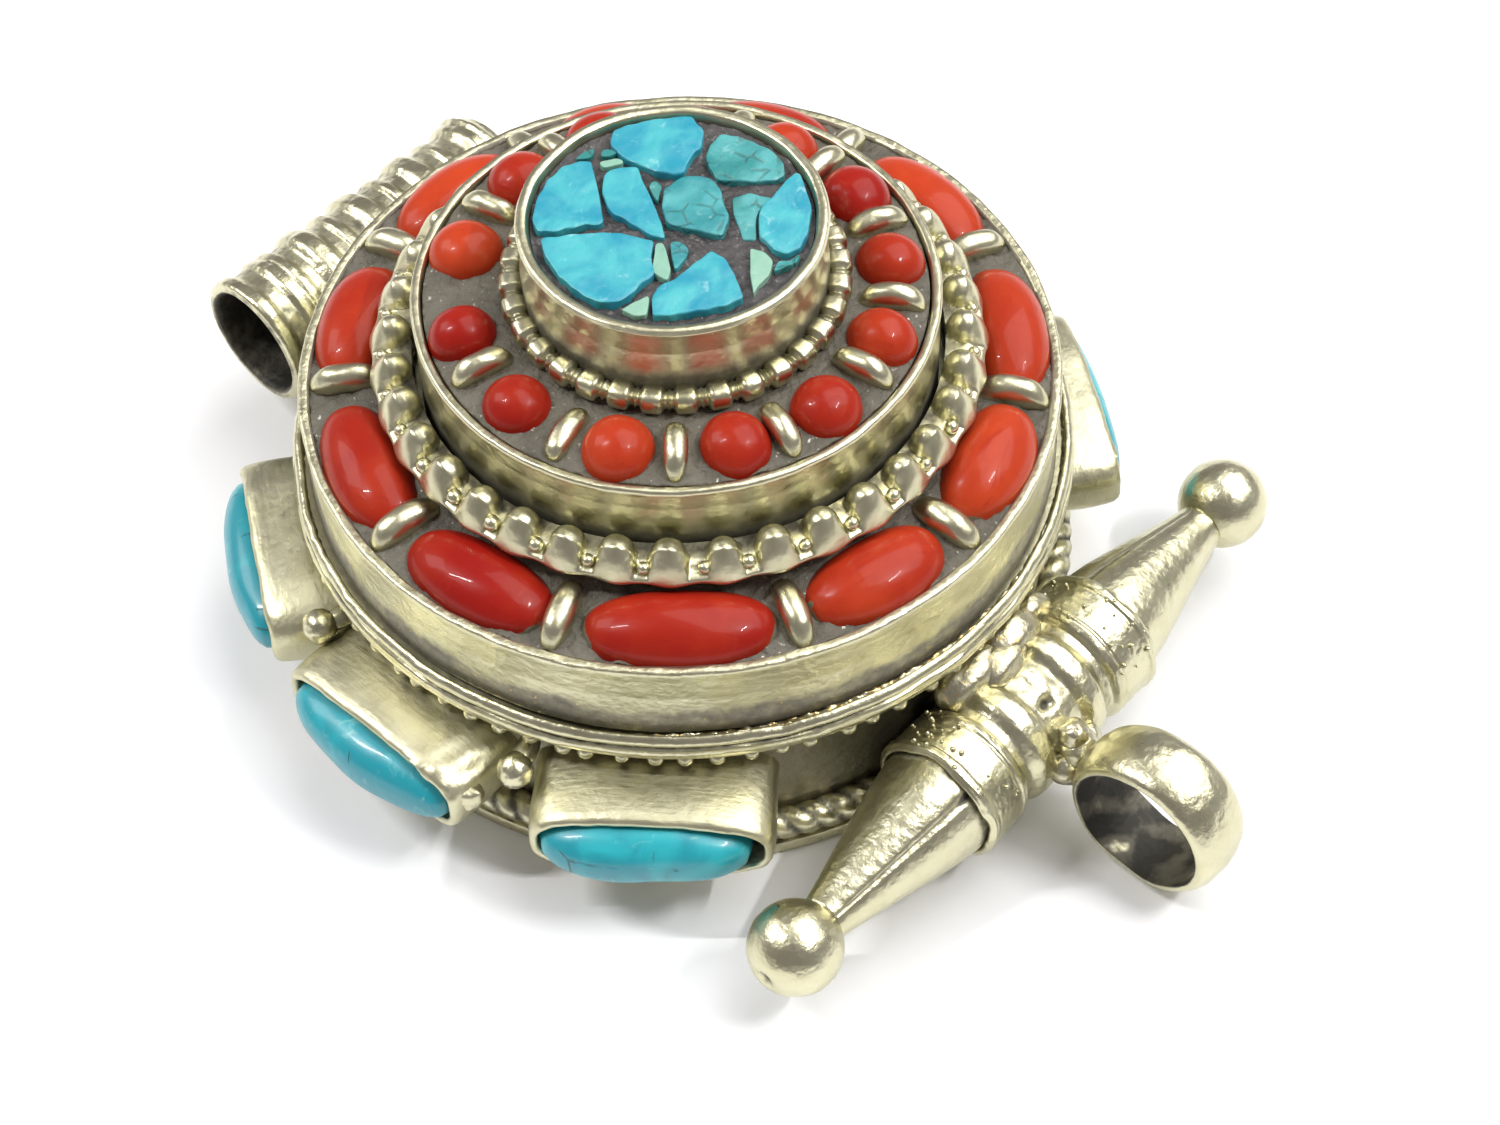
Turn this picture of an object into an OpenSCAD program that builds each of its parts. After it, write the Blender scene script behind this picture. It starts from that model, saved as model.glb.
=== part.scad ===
/* [Overall] */
// Outer diameter of the tall band of the turning wheel
band_d = 40; // [34:0.5:48]
// Height of the case wall, back plate to deck
case_h = 8.5; // [7:0.1:10.5]
// Height of the band, foot to lip
band_h = 5; // [4.2:0.1:6.5]
// Rise of the middle tier lip above the band lip
mid_rise = 5.9; // [4.8:0.1:7.5]
// Rise of the cup rim above the middle tier lip
cup_rise = 5.2; // [4.2:0.1:6.5]
// Sheet thickness of the walls
wall_t = 0.6; // [0.45:0.05:0.75]

/* [Case] */
// Thickness of the back plate
plate_t = 0.9; // [0.7:0.1:1.3]
// Height of the skirt that holds the back plate in the drum
skirt_h = 2.6; // [1.8:0.1:3.4]
// Running clearance of the skirt inside the drum wall
skirt_fit = 0.04; // [0.02:0.01:0.08]
// Radial gap between the band foot and the rim ring
rim_gap = 0.35; // [0.3:0.05:0.45]
// Width of the flat wire of the rim ring
rim_w = 0.55; // [0.4:0.05:0.8]
// Height of the rim ring above the deck
rim_h = 0.8; // [0.5:0.1:1.5]
// Number of beads on the wire under the deck
bead_n = 76; // [60:2:80]

/* [Side bezels] */
// Length of one oblong bezel
bezel_l = 12.4; // [10:0.2:13.4]
// Height of one oblong bezel
bezel_h = 4.8; // [3.8:0.1:5]
// How far the bezel rim stands out from the drum wall
bezel_out = 4.05; // [3.2:0.05:5.2]
// Angle between neighbouring bezels
bezel_pitch = 37; // [36:0.5:42]
// Bulge of the turquoise beyond the bezel rim
stone_bulge = 1.9; // [1:0.1:2.4]

/* [Barrel and ring] */
// Radius of the barrel collars
collar_r = 3.75; // [3.4:0.05:4.1]
// Distance from the middle of the barrel to a collar mouth
collar_x = 7.2; // [6.2:0.1:8.6]
// Distance from the middle of the barrel to a finial ball centre
ball_x = 18.2; // [15.5:0.2:22]
// Radius of a finial ball
ball_r = 2.45; // [1.9:0.05:2.9]
// Clearance of a finial plug in the barrel bore
plug_fit = 0.03; // [0.02:0.01:0.06]
// Inner radius of the hanging ring
ring_in = 3.6; // [3:0.1:3.75]
// Thickness of the hanging ring
ring_t = 0.95; // [0.75:0.05:1.2]
// Width of the hanging ring along its hole
ring_w = 3.8; // [3:0.1:4.8]

/* [Ribbed tube] */
// Bore radius of the ribbed tube
tube_in = 3.2; // [2.7:0.1:3.4]
// Length of the ribbed tube
tube_l = 18.4; // [15:0.2:22]
// Sideways shift of the ribbed tube
tube_shift = -0.3; // [-1:0.1:0.5]
// Slight turn of the ribbed tube out of square
tube_yaw = -4; // [-5:0.5:5]

/* [Tiers] */
// Outer diameter of the middle tier wall
mid_d = 27; // [24:0.5:28.5]
// Outer diameter of the centre cup
cup_d = 15.6; // [13:0.2:18]
// Number of oval corals in the outer ring
oval_n = 11; // [9:1:12]
// Number of round corals in the middle ring
round_n = 13; // [11:1:14]
// Number of large beads in the scalloped ring
scallop_n = 36; // [30:1:38]
// Number of beads round the cup foot
cup_bead_n = 32; // [26:1:34]
// Height of an oval coral above the bed
oval_h = 2.1; // [1.4:0.1:2.4]
// Height of a round coral above the bed
round_h = 1.65; // [1:0.05:1.95]

/* [Axle and scroll] */
// Diameter of the central axle
axle_d = 3; // [2.4:0.1:3.6]
// Running clearance between axle and hub bush
axle_fit = 0.05; // [0.03:0.01:0.08]
// Wall thickness of the hub bush
bush_t = 1; // [0.8:0.1:1.2]
// Gap between deck and wheel floor, filled by the thrust washer
lift = 0.4; // [0.35:0.05:0.6]
// Outer radius of the rolled scroll
scroll_r = 12; // [8:0.5:14]

/* [Hidden] */
$fn = 96;
silver = [0.82, 0.81, 0.76];
dark = [0.45, 0.44, 0.4];
cement = [0.36, 0.35, 0.32];
coral = [0.8, 0.12, 0.06];
turquoise = [0.15, 0.68, 0.72];
// Levels, counted up from the back face
seat = 0.05;
deck_t = 0.6;
z_wall = plate_t + seat;
z_deck = plate_t + seat + case_h;
z_top = z_deck + deck_t;
z_floor = z_top + lift;
z_band = z_floor + band_h;
z_mid = z_band + mid_rise;
z_cup = z_mid + cup_rise;
floor_t = 0.5;
// Radii
band_r = band_d / 2;
drum_r = band_r - 0.2;
deck_r = band_r + rim_gap + rim_w;
plate_r = drum_r + 1.4;
mid_r = mid_d / 2;
cup_r = cup_d / 2;
// Case furniture
bead_r = 0.6;
rope_r = 0.9;
z_rope = z_wall + rope_r + 0.15;
z_bezel = z_deck - 2 * bead_r - 0.15 - bezel_h / 2;
rim_at = drum_r + bezel_out;
bezel_t = 0.5;
pocket = 2.2;
stone_fit = 0.04;
drum_ball_r = 0.85;
drum_ball_out = 2.35;
peg_r = 0.35;
// Neighbouring bezels may not meet at the drum wall
bezel_len = min(bezel_l, 2 * drum_r * sin(bezel_pitch / 2) - 0.15);
// Ribbed tube, axis along X
tube_t = 0.5;
tube_rib = 0.32;
ring_shift = 0.4;
tube_out = tube_in + tube_t + tube_rib;
tube_y = -(drum_r + tube_out + 0.25);
z_tube = max(tube_out + 1.1, z_deck - 2.55);
tube_pitch = tube_l * 0.217;
// Barrel, axis along X
body_r = collar_r - 0.5;
bore_r = body_r - 0.5;
ring_wire = 0.45;
barrel_y = drum_r + collar_r - 0.45;
z_barrel = collar_r + 0.85;
plug_l = 2.2;
// Hanging ring, hole along X
ring_out = ring_in + ring_t;
ring_y = barrel_y + body_r + ring_out + 1.2;
z_ring = ring_out + 0.5;
// Axle group
axle_r = axle_d / 2;
bush_in = axle_r + axle_fit;
bush_out = bush_in + bush_t;
bush_top = z_floor + min(3.2, band_h - 1.6);
core_r = bush_out + 0.9;
keep_gap = 0.06;
keep_t = 0.45;
keep_r = bush_out + 0.1;
// Tiers
shelf_t = 0.5;
z_shelf = z_band - 1.1;
bed_out = band_r - wall_t;
scallop_bead = min(1.02, mid_r * 0.0785);
scallop_in = mid_r + 0.25;
scallop_out = scallop_in + 2 * scallop_bead + 0.2;
z_scallop = z_band + 2.5;
z_obed = z_band - 0.5;
// The ring of beads overhangs the inner edge of the ovals on a narrower neck
neck_r = scallop_out - 0.85;
oval_at = (bed_out + neck_r) / 2;
oval_w = (bed_out - neck_r) * 0.97;
leaf_w = 0.85;
leaf_h = 1.6;
oval_l = 2 * PI * oval_at / oval_n - leaf_w - 0.15;
z_tray = z_mid - 1.7;
cup_bead = min(0.68, cup_r * 0.087);
cup_ring_at = cup_r + cup_bead * 0.8;
mbed_in = cup_ring_at + cup_bead;
mbed_out = mid_r - wall_t;
z_mbed = z_mid - 0.3;
round_at = (mbed_in + mbed_out) / 2;
round_d = min((mbed_out - mbed_in) * 0.95, 2 * PI * round_at / round_n - leaf_w - 0.35);
cup_t = 0.7;
z_cupfloor = z_cup - 1.9;
chip_t = 0.7;
eps = 0.01;

// Flat ring between two radii
module ring(r1, r0, z, h) {
  translate([0, 0, z]) difference() {
    cylinder(r = r1, h = h);
    translate([0, 0, -1]) cylinder(r = r0, h = h + 2);
  }
}
// Round bar along X
module bar(r, l) { rotate([0, 90, 0]) cylinder(r = r, h = l, center = true); }
// Oblong outline with round ends, lying in the bezel rim plane
module oblong(l, h) {
  square([l - h, h], center = true);
  translate([(l - h) / 2, 0]) circle(d = h, $fn = 48);
  translate([-(l - h) / 2, 0]) circle(d = h, $fn = 48);
}
// Places a child with its local Z pointing outwards from the drum axis
module outward(a) { rotate([0, 0, a]) rotate([90, 0, 90]) children(); }
// The six bezel directions, three on each side
module bezel_ring() {
  for (s = [0, 180]) for (k = [-1, 0, 1]) rotate([0, 0, s + k * bezel_pitch]) children();
}
// Space kept clear round the barrel, and behind the ribbed tube
module fittings_room() {
  translate([0, barrel_y, z_barrel]) bar(collar_r + 0.35, 2 * collar_x + 1);
  translate([tube_shift, -drum_r - 3, z_tube]) cube([tube_l * 0.62, 8, 2 * tube_out + 0.1], center = true);
}
// Upper half of an ellipsoid standing on a level
module cabochon(l, w, h) {
  difference() {
    scale([l / 2, w / 2, h]) sphere(r = 1, $fn = 40);
    translate([0, 0, -h - 1]) cube([l + 2, w + 2, 2 * h + 2], center = true);
  }
}

module back_cover() color(silver) {
  cylinder(r = plate_r, h = plate_t);
}
module cover_skirt() color(silver) {
  r = drum_r - wall_t - skirt_fit;
  ring(r, r - 0.5, plate_t, skirt_h);
}
module drum_wall() color(dark) {
  ring(drum_r, drum_r - wall_t, z_wall, case_h);
}
module deck() color(silver) {
  ring(deck_r, axle_r, z_deck, deck_t);
}
module rim_ring() color(silver) {
  ring(deck_r - 0.08, band_r + rim_gap, z_top, rim_h);
}
module bead_wire() color(silver) {
  difference() {
    union() {
      translate([0, 0, z_deck - bead_r]) {
        rotate_extrude() translate([drum_r + 0.4, 0]) circle(r = 0.38, $fn = 20);
        for (k = [0:bead_n - 1]) rotate([0, 0, k * 360 / bead_n])
          translate([drum_r + bead_r - 0.02, 0, 0]) sphere(r = bead_r, $fn = 16);
      }
    }
    translate([0, 0, z_deck - 3]) cylinder(r = drum_r, h = 4);
    fittings_room();
  }
}
module rope_wire() color(silver) {
  difference() {
    translate([0, 0, z_rope]) rotate_extrude()
      translate([drum_r + rope_r - 0.12, 0]) circle(r = rope_r, $fn = 24);
    translate([0, 0, -1]) cylinder(r = drum_r, h = z_top);
    fittings_room();
    bezel_ring() translate([drum_r, 0, z_bezel]) cube([8, bezel_len, bezel_h], center = true);
  }
}
module side_bezels() color(silver) bezel_ring() difference() {
  translate([0, 0, z_bezel]) rotate([90, 0, 90])
    translate([0, 0, drum_r - 2.5]) linear_extrude(bezel_out + 2.5) oblong(bezel_len, bezel_h);
  translate([0, 0, z_bezel]) rotate([90, 0, 90]) translate([0, 0, rim_at - pocket])
    linear_extrude(pocket + 1) oblong(bezel_len - 2 * bezel_t, bezel_h - 2 * bezel_t);
  cylinder(r = drum_r, h = z_top);
}
module side_stones() color(turquoise) bezel_ring()
  translate([rim_at - pocket, 0, z_bezel]) rotate([90, 0, 90]) {
    l = bezel_len - 2 * bezel_t - 2 * stone_fit;
    h = bezel_h - 2 * bezel_t - 2 * stone_fit;
    linear_extrude(pocket - 0.25) oblong(l, h);
    translate([0, 0, pocket - 0.25])
      cabochon(l - 0.14, h - 0.14, stone_bulge + 0.25);
  }
module drum_balls() color(silver)
  for (s = [0, 180]) for (k = [-0.5, 0.5]) rotate([0, 0, s + k * bezel_pitch])
    difference() {
      translate([drum_r, 0, z_deck - 2 * bead_r - 0.4]) {
        translate([drum_ball_out, 0, 0]) sphere(r = drum_ball_r, $fn = 32);
        translate([drum_ball_out / 2 - 0.5, 0, 0]) bar(peg_r, drum_ball_out + 1, $fn = 32);
      }
      for (q = [-0.5, 0.5]) rotate([0, 0, q * bezel_pitch]) translate([rim_at / 2, 0, z_bezel])
        cube([rim_at, bezel_len + 0.02, bezel_h - 0.9], center = true);
      cylinder(r = drum_r, h = z_top, $fn = 720);
    }
// Where the ribbed tube lies
module at_tube() { translate([tube_shift, tube_y, z_tube]) rotate([0, 0, tube_yaw]) children(); }
// One rib round the tube
module rib(x, r0, r) {
  translate([x, 0, 0]) rotate([0, 90, 0]) rotate_extrude() translate([r0, 0]) circle(r = r, $fn = 24);
}
module bail_tube() color(silver) at_tube() difference() {
  union() {
    bar(tube_in + tube_t, tube_l);
    for (k = [-2:1:1]) rib(k * tube_pitch, tube_out - 0.85, 0.85);
    for (k = [-2:1:1]) rib((k + 0.5) * tube_pitch, tube_in + tube_t - 0.25, 0.42);
    rib(1.7 * tube_pitch, tube_in + tube_t - 0.25, 0.42);
    for (s = [-1, 1]) rib(s * (tube_l / 2 - 0.5), tube_out - 0.6, 0.5);
  }
  bar(tube_in, tube_l + 2);
}
module bail_saddle() color(silver) difference() {
  translate([tube_shift, -drum_r - 1.4, z_tube - 1.4]) cube([tube_l * 0.4, 6, 3.4], center = true);
  translate([0, 0, -1]) cylinder(r = drum_r, h = 30, $fn = 720);
  at_tube() bar(tube_out, tube_l, $fn = 360);
}
module barrel() color(silver) translate([0, barrel_y, z_barrel]) difference() {
  union() {
    bar(body_r, 2 * collar_x - 0.5);
    for (s = [-1, 1]) translate([s * (collar_x - 1.3), 0, 0]) bar(collar_r, 2.6);
    for (s = [-1, 1]) translate([s * collar_x - s * 3.9, 0, 0])
      rotate([0, 90, 0]) rotate_extrude() translate([body_r - 0.05, 0]) circle(r = 0.42, $fn = 20);
  }
  bar(bore_r, 2 * collar_x + 2);
  for (s = [-1, 1]) translate([s * collar_x, 0, 0]) bar(collar_r - 0.45, 1.4);
  translate([0, -barrel_y, -z_barrel]) cylinder(r = drum_r + 0.02, h = 30);
}
module barrel_rings() color(silver) difference() {
  translate([0, barrel_y, z_barrel]) for (s = [-1, 1]) translate([s * collar_x * 0.3, 0, 0])
    rotate([0, 90, 0]) rotate_extrude() translate([body_r + 0.1, 0]) circle(r = 0.52, $fn = 24);
  translate([0, barrel_y, z_barrel]) bar(body_r, 2 * collar_x + 4);
  translate([0, 0, -1]) cylinder(r = drum_r, h = 30);
}
module granules() color(silver) translate([0, barrel_y, z_barrel]) difference() {
  for (s = [-1, 1]) for (k = [-1:1:5]) rotate([k * 30 + 10, 0, 0])
    translate([s * (collar_x - 1.5), 0, collar_r + 0.05]) sphere(r = 0.34, $fn = 16);
  bar(collar_r, 2 * collar_x);
}
// Hollow cone with a plug that enters the barrel, and a neck for the ball
module cone_half() {
  neck_r = ball_r * 0.5;
  foot_r = collar_r - 0.45 - plug_fit;
  neck_x = ball_x - ball_r * 0.93;
  rotate([0, 90, 0]) rotate_extrude() polygon([
    [0, collar_x - 0.7 - plug_l], [bore_r - plug_fit, collar_x - 0.7 - plug_l],
    [bore_r - plug_fit, collar_x - 0.7 + plug_fit], [foot_r, collar_x - 0.7 + plug_fit],
    [foot_r, collar_x + 0.4], [foot_r * 0.93, collar_x + 2.2],
    [(foot_r + neck_r) / 2 + 0.12, (collar_x + neck_x) / 2 + 0.6], [neck_r + 0.22, neck_x - 1.3],
    [neck_r, neck_x], [0, neck_x]]);
}
module finial_cones() color(silver) translate([0, barrel_y, z_barrel]) difference() {
  union() { cone_half(); mirror([1, 0, 0]) cone_half(); }
  for (s = [-1, 1]) translate([s * ball_x, 0, 0]) sphere(r = ball_r, $fn = 48);
}
module finial_balls() color(silver) translate([0, barrel_y, z_barrel]) difference() {
  for (s = [-1, 1]) translate([s * ball_x, 0, 0]) sphere(r = ball_r, $fn = 48);
  for (s = [-1, 1]) translate([s * (ball_x + ball_r), 0, 0]) bar(0.4, 2);
}
module barrel_saddle() color(silver) difference() {
  translate([0, drum_r + 0.6, z_barrel]) cube([collar_x * 0.3, 5, 5], center = true);
  translate([0, 0, -1]) cylinder(r = drum_r, h = 30, $fn = 720);
  translate([0, barrel_y, z_barrel]) bar(body_r, 30, $fn = 360);
}
module hanging_ring() color(silver) translate([ring_shift, ring_y, z_ring]) rotate([0, 90, 0])
  rotate_extrude() difference() {
    translate([ring_in, -ring_w / 2]) square([ring_t, ring_w]);
    translate([ring_in + ring_t, ring_w / 2]) rotate(45) square([0.9, 0.9], center = true);
    translate([ring_in + ring_t, -ring_w / 2]) rotate(45) square([0.9, 0.9], center = true);
  }
module ring_foot() color(silver) difference() {
  hull_y = ring_y - ring_out;
  translate([0, hull_y - 0.3, z_barrel]) cube([2 * (collar_x * 0.3 - 0.52) - 0.6, 3.6, 3], center = true);
  translate([0, ring_y, z_ring]) bar(ring_out, 12, $fn = 360);
  translate([0, barrel_y, z_barrel]) bar(body_r, 30, $fn = 360);
}
module axle() color(silver) {
  translate([0, 0, z_deck - 0.8]) cylinder(r = axle_r + 1, h = 0.8);
  translate([0, 0, z_deck - 0.4]) cylinder(r = axle_r, h = bush_top + keep_gap + keep_t - z_deck + 0.4);
}
module thrust_washer() color(silver) {
  ring(bush_out + 0.6, axle_r + 0.02, z_top, lift - 0.05);
}
module retainer() color(silver) {
  z = bush_top + keep_gap;
  ring(keep_r, axle_r, z, keep_t);
  translate([0, 0, z + keep_t]) cylinder(r1 = axle_r + 0.7, r2 = axle_r + 0.2, h = 0.5);
}
module band() color(silver) {
  rotate_extrude() polygon([[band_r - wall_t, z_floor], [band_r, z_floor],
    [band_r - 0.12, z_floor + band_h * 0.25], [band_r - 0.15, z_floor + band_h * 0.6],
    [band_r - 0.05, z_band - 0.5], [band_r, z_band - 0.25], [band_r, z_band],
    [band_r - wall_t, z_band]]);
}
module wheel_floor() color(silver) {
  ring(bed_out, bush_out, z_floor, floor_t);
}
module hub_bush() color(silver) {
  ring(bush_out, bush_in, z_floor, bush_top - z_floor);
}
module scroll_core() color([0.6, 0.42, 0.25]) {
  ring(core_r, bush_out, z_floor + floor_t, bush_top - z_floor - floor_t - 0.2);
}
module scroll() color([0.88, 0.82, 0.68]) {
  ring(scroll_r, core_r, z_floor + floor_t, z_shelf - z_floor - floor_t - 0.3);
}
module scroll_tie() color([0.6, 0.1, 0.1]) {
  translate([0, 0, (z_floor + floor_t + z_shelf) / 2 - 0.1]) rotate_extrude()
    translate([scroll_r, -0.3]) square([0.3, 0.6]);
}
module shelf() color(silver) {
  ring(bed_out, mid_r - 2, z_shelf, shelf_t);
}
module outer_bed() color(cement) difference() {
  z = z_shelf + shelf_t;
  rotate_extrude() polygon([[neck_r, z], [bed_out, z], [bed_out, z_obed + 0.1],
    [oval_at, z_obed + 0.35], [neck_r, z_obed + 0.7]]);
  for (k = [0:oval_n - 1]) rotate([0, 0, 41 + k * 360 / oval_n]) {
    translate([oval_at, 0, z_obed]) rotate([0, 0, 90]) cabochon(oval_l, oval_w, oval_h);
    rotate([0, 0, 180 / oval_n]) translate([oval_at, 0, z_obed]) cabochon(oval_w, leaf_w, leaf_h);
  }
}
module outer_corals() color(coral)
  for (k = [0:oval_n - 1]) rotate([0, 0, 41 + k * 360 / oval_n])
    translate([oval_at, 0, z_obed]) rotate([0, 0, 90]) cabochon(oval_l, oval_w, oval_h);
module outer_leaves() color(silver)
  for (k = [0:oval_n - 1]) rotate([0, 0, 41 + (k + 0.5) * 360 / oval_n])
    translate([oval_at, 0, z_obed]) cabochon(oval_w, leaf_w, leaf_h);
module scallop_ring() color(silver) difference() {
  z0 = z_shelf + shelf_t;
  union() {
    ring(neck_r, mid_r, z0, z_scallop - z0 - 0.4);
    ring(scallop_out, scallop_in, z_scallop - 0.75, 0.4);
    for (k = [0:scallop_n - 1]) rotate([0, 0, k * 360 / scallop_n]) {
      translate([scallop_in + scallop_bead, 0, z_scallop]) sphere(r = scallop_bead, $fn = 24);
      rotate([0, 0, 180 / scallop_n]) translate([scallop_out - 0.62, 0, z_scallop - 0.2])
        sphere(r = 0.45, $fn = 16);
    }
  }
  for (k = [0:oval_n - 1]) rotate([0, 0, 41 + k * 360 / oval_n])
    translate([oval_at, 0, z_obed]) rotate([0, 0, 90])
      cabochon(oval_l + 0.1, oval_w + 0.1, oval_h + 0.06);
}
module middle_wall() color(silver) {
  ring(mid_r, mid_r - wall_t, z_shelf + shelf_t, z_mid - z_shelf - shelf_t);
}
module middle_tray() color(silver) {
  cylinder_z = z_tray - shelf_t;
  ring(mid_r - wall_t, cup_r - 3, cylinder_z, shelf_t);
}
module middle_bed() color(cement) difference() {
  rotate_extrude() polygon([[cup_r, z_tray], [mbed_out, z_tray], [mbed_out, z_mbed - 0.15],
    [round_at, z_mbed + 0.15], [mbed_in, z_mbed + 0.45], [mbed_in, z_mbed + 0.45],
    [cup_r, z_mbed + 0.45]]);
  for (k = [0:round_n - 1]) rotate([0, 0, 26 + k * 360 / round_n]) {
    translate([round_at, 0, z_mbed]) cabochon(round_d, round_d, round_h);
    rotate([0, 0, 180 / round_n]) translate([round_at, 0, z_mbed])
      cabochon((mbed_out - mbed_in) * 0.95, leaf_w, leaf_h - 0.2);
  }
}
module middle_corals() color(coral)
  for (k = [0:round_n - 1]) rotate([0, 0, 26 + k * 360 / round_n])
    translate([round_at, 0, z_mbed]) cabochon(round_d, round_d, round_h);
module middle_leaves() color(silver)
  for (k = [0:round_n - 1]) if (k != round_n - 3) rotate([0, 0, 26 + (k + 0.5) * 360 / round_n])
    translate([round_at, 0, z_mbed]) cabochon((mbed_out - mbed_in) * 0.95, leaf_w, leaf_h - 0.2);
module cup_beads() color(silver) difference() {
  translate([0, 0, z_mbed + 0.45 + cup_bead]) {
    rotate_extrude() translate([cup_ring_at, 0]) circle(r = cup_bead * 0.72, $fn = 16);
    for (k = [0:cup_bead_n - 1]) rotate([0, 0, k * 360 / cup_bead_n])
      translate([cup_ring_at, 0, 0]) sphere(r = cup_bead, $fn = 16);
  }
  translate([0, 0, z_tray]) cylinder(r = cup_r, h = 20);
}
module cup() color(silver) {
  ring(cup_r, cup_r - cup_t, z_tray, z_cup - z_tray);
}
module cup_floor() color(silver) {
  translate([0, 0, z_cupfloor]) cylinder(r = cup_r - cup_t, h = 0.4);
}
// One chip outline: a sector between two radii and two angles, less the joint
module chip(r0, r1, a0, a1) {
  polygon([for (t = [0, 0.5, 1]) (r1 - 0.12) * [cos(a0 + 4 + t * (a1 - a0 - 8)),
    sin(a0 + 4 + t * (a1 - a0 - 8))], for (t = [1, 0]) (r0 + 0.15) * [cos(a0 + 7 + t * (a1 - a0 - 14)),
    sin(a0 + 7 + t * (a1 - a0 - 14))]]);
}
module chips_plan() {
  r = cup_r - cup_t;
  for (k = [0:8]) chip(r * 0.48, r * (k % 2 == 0 ? 0.97 : 0.94), k * 40, k * 40 + 40);
  for (k = [0:3]) chip(r * 0.08, r * 0.47, k * 90 + 20, k * 90 + 110);
}
module mosaic_bed() color([0.1, 0.1, 0.1]) difference() {
  translate([0, 0, z_cupfloor + 0.4]) cylinder(r = cup_r - cup_t, h = 1.2);
  translate([0, 0, z_cup - chip_t - 0.2]) linear_extrude(chip_t + 1) chips_plan();
}
module mosaic_chips() color(turquoise)
  translate([0, 0, z_cup - chip_t - 0.2]) linear_extrude(chip_t) chips_plan();

back_cover();
cover_skirt();
drum_wall();
deck();
rim_ring();
bead_wire();
rope_wire();
side_bezels();
side_stones();
drum_balls();
bail_tube();
bail_saddle();
barrel();
barrel_rings();
granules();
finial_cones();
finial_balls();
barrel_saddle();
hanging_ring();
ring_foot();
axle();
thrust_washer();
retainer();
band();
wheel_floor();
hub_bush();
scroll_core();
scroll();
scroll_tie();
shelf();
outer_bed();
outer_corals();
outer_leaves();
scallop_ring();
middle_wall();
middle_tray();
middle_bed();
middle_corals();
middle_leaves();
cup_beads();
cup();
cup_floor();
mosaic_bed();
mosaic_chips();
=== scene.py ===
import bmesh
import bpy
import numpy as np
from mathutils import Euler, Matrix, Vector


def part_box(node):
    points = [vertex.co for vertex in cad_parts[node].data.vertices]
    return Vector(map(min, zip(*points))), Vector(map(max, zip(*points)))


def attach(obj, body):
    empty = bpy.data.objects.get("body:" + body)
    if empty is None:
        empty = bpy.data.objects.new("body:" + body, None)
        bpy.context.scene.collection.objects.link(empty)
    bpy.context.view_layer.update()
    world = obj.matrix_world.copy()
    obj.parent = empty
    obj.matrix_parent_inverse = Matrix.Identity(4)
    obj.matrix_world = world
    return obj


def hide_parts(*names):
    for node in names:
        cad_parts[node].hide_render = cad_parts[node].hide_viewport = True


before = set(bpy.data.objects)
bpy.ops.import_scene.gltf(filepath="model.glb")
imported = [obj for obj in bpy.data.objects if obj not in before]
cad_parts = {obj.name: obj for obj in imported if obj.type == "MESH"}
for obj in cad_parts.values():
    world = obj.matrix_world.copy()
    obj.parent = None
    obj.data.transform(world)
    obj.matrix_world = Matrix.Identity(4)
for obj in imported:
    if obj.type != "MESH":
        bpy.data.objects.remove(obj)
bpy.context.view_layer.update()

# The view: a close, steep look down on the front of the box as it lies on its back cover,
# with the hinge barrel and the hanging ring to the right.
view_data = bpy.data.cameras.new("view")
view_data.sensor_width = 36.0
view_data.lens = 72.0
view_data.clip_start = 0.005
view = bpy.data.objects.new("view", view_data)
view.location = (0.075008, 0.071503, 0.133797)
view.rotation_euler = Euler(np.radians((37.327, 0.931, 130.54)).tolist(), "XYZ")
bpy.context.scene.collection.objects.link(view)
bpy.context.scene.camera = view
bpy.context.scene.view_settings.view_transform = "Standard"


# The studio: a pale sheet on a table, a grey room, one large soft box overhead to the right,
# a weaker one on the left, and two narrow strips that put small glints on stones and wires.
def lamp(name, place, aim, size, power, colour=(1.0, 1.0, 1.0)):
    """A flat rectangular lamp of that size at a place, in millimetres, facing the aim point."""
    data = bpy.data.lights.new(name, "AREA")
    data.shape, data.energy, data.color = "RECTANGLE", power, colour
    data.size, data.size_y = size[0] / 1000, size[1] / 1000
    made = bpy.data.objects.new(name, data)
    made.location = Vector(place) / 1000
    made.rotation_euler = (Vector(aim) - Vector(place)).to_track_quat("-Z", "Y").to_euler()
    bpy.context.scene.collection.objects.link(made)
    return made


lamp("soft_box_right", (-300, 110, 520), (0, 0, 8), (620, 620), 3.9)
lamp("soft_box_left", (160, -420, 330), (0, 0, 8), (240, 240), 0.8)
lamp("strip_left", (150, -160, 330), (0, 0, 10), (7, 110), 0.65)
lamp("strip_right", (-90, 200, 300), (0, 0, 10), (90, 6), 0.45)

room = bpy.data.worlds.new("room")
bpy.context.scene.world = room
room.use_nodes = True
room.node_tree.nodes["Background"].inputs["Color"].default_value = (1.0, 0.955, 1.0, 1.0)
room.node_tree.nodes["Background"].inputs["Strength"].default_value = 0.27


class Value:
    """A number or colour that changes over a surface: one output socket, with the usual sums on it."""

    def __init__(self, finish, socket):
        self.finish, self.socket = finish, socket

    def __add__(self, other):
        return self.finish.sum("ADD", self, other)

    def __sub__(self, other):
        return self.finish.sum("SUBTRACT", self, other)

    def __rsub__(self, other):
        return self.finish.sum("SUBTRACT", other, self)

    def __mul__(self, other):
        return self.finish.sum("MULTIPLY", self, other)

    def __pow__(self, other):
        return self.finish.sum("POWER", self, other)

    __radd__, __rmul__ = __add__, __mul__


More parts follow.
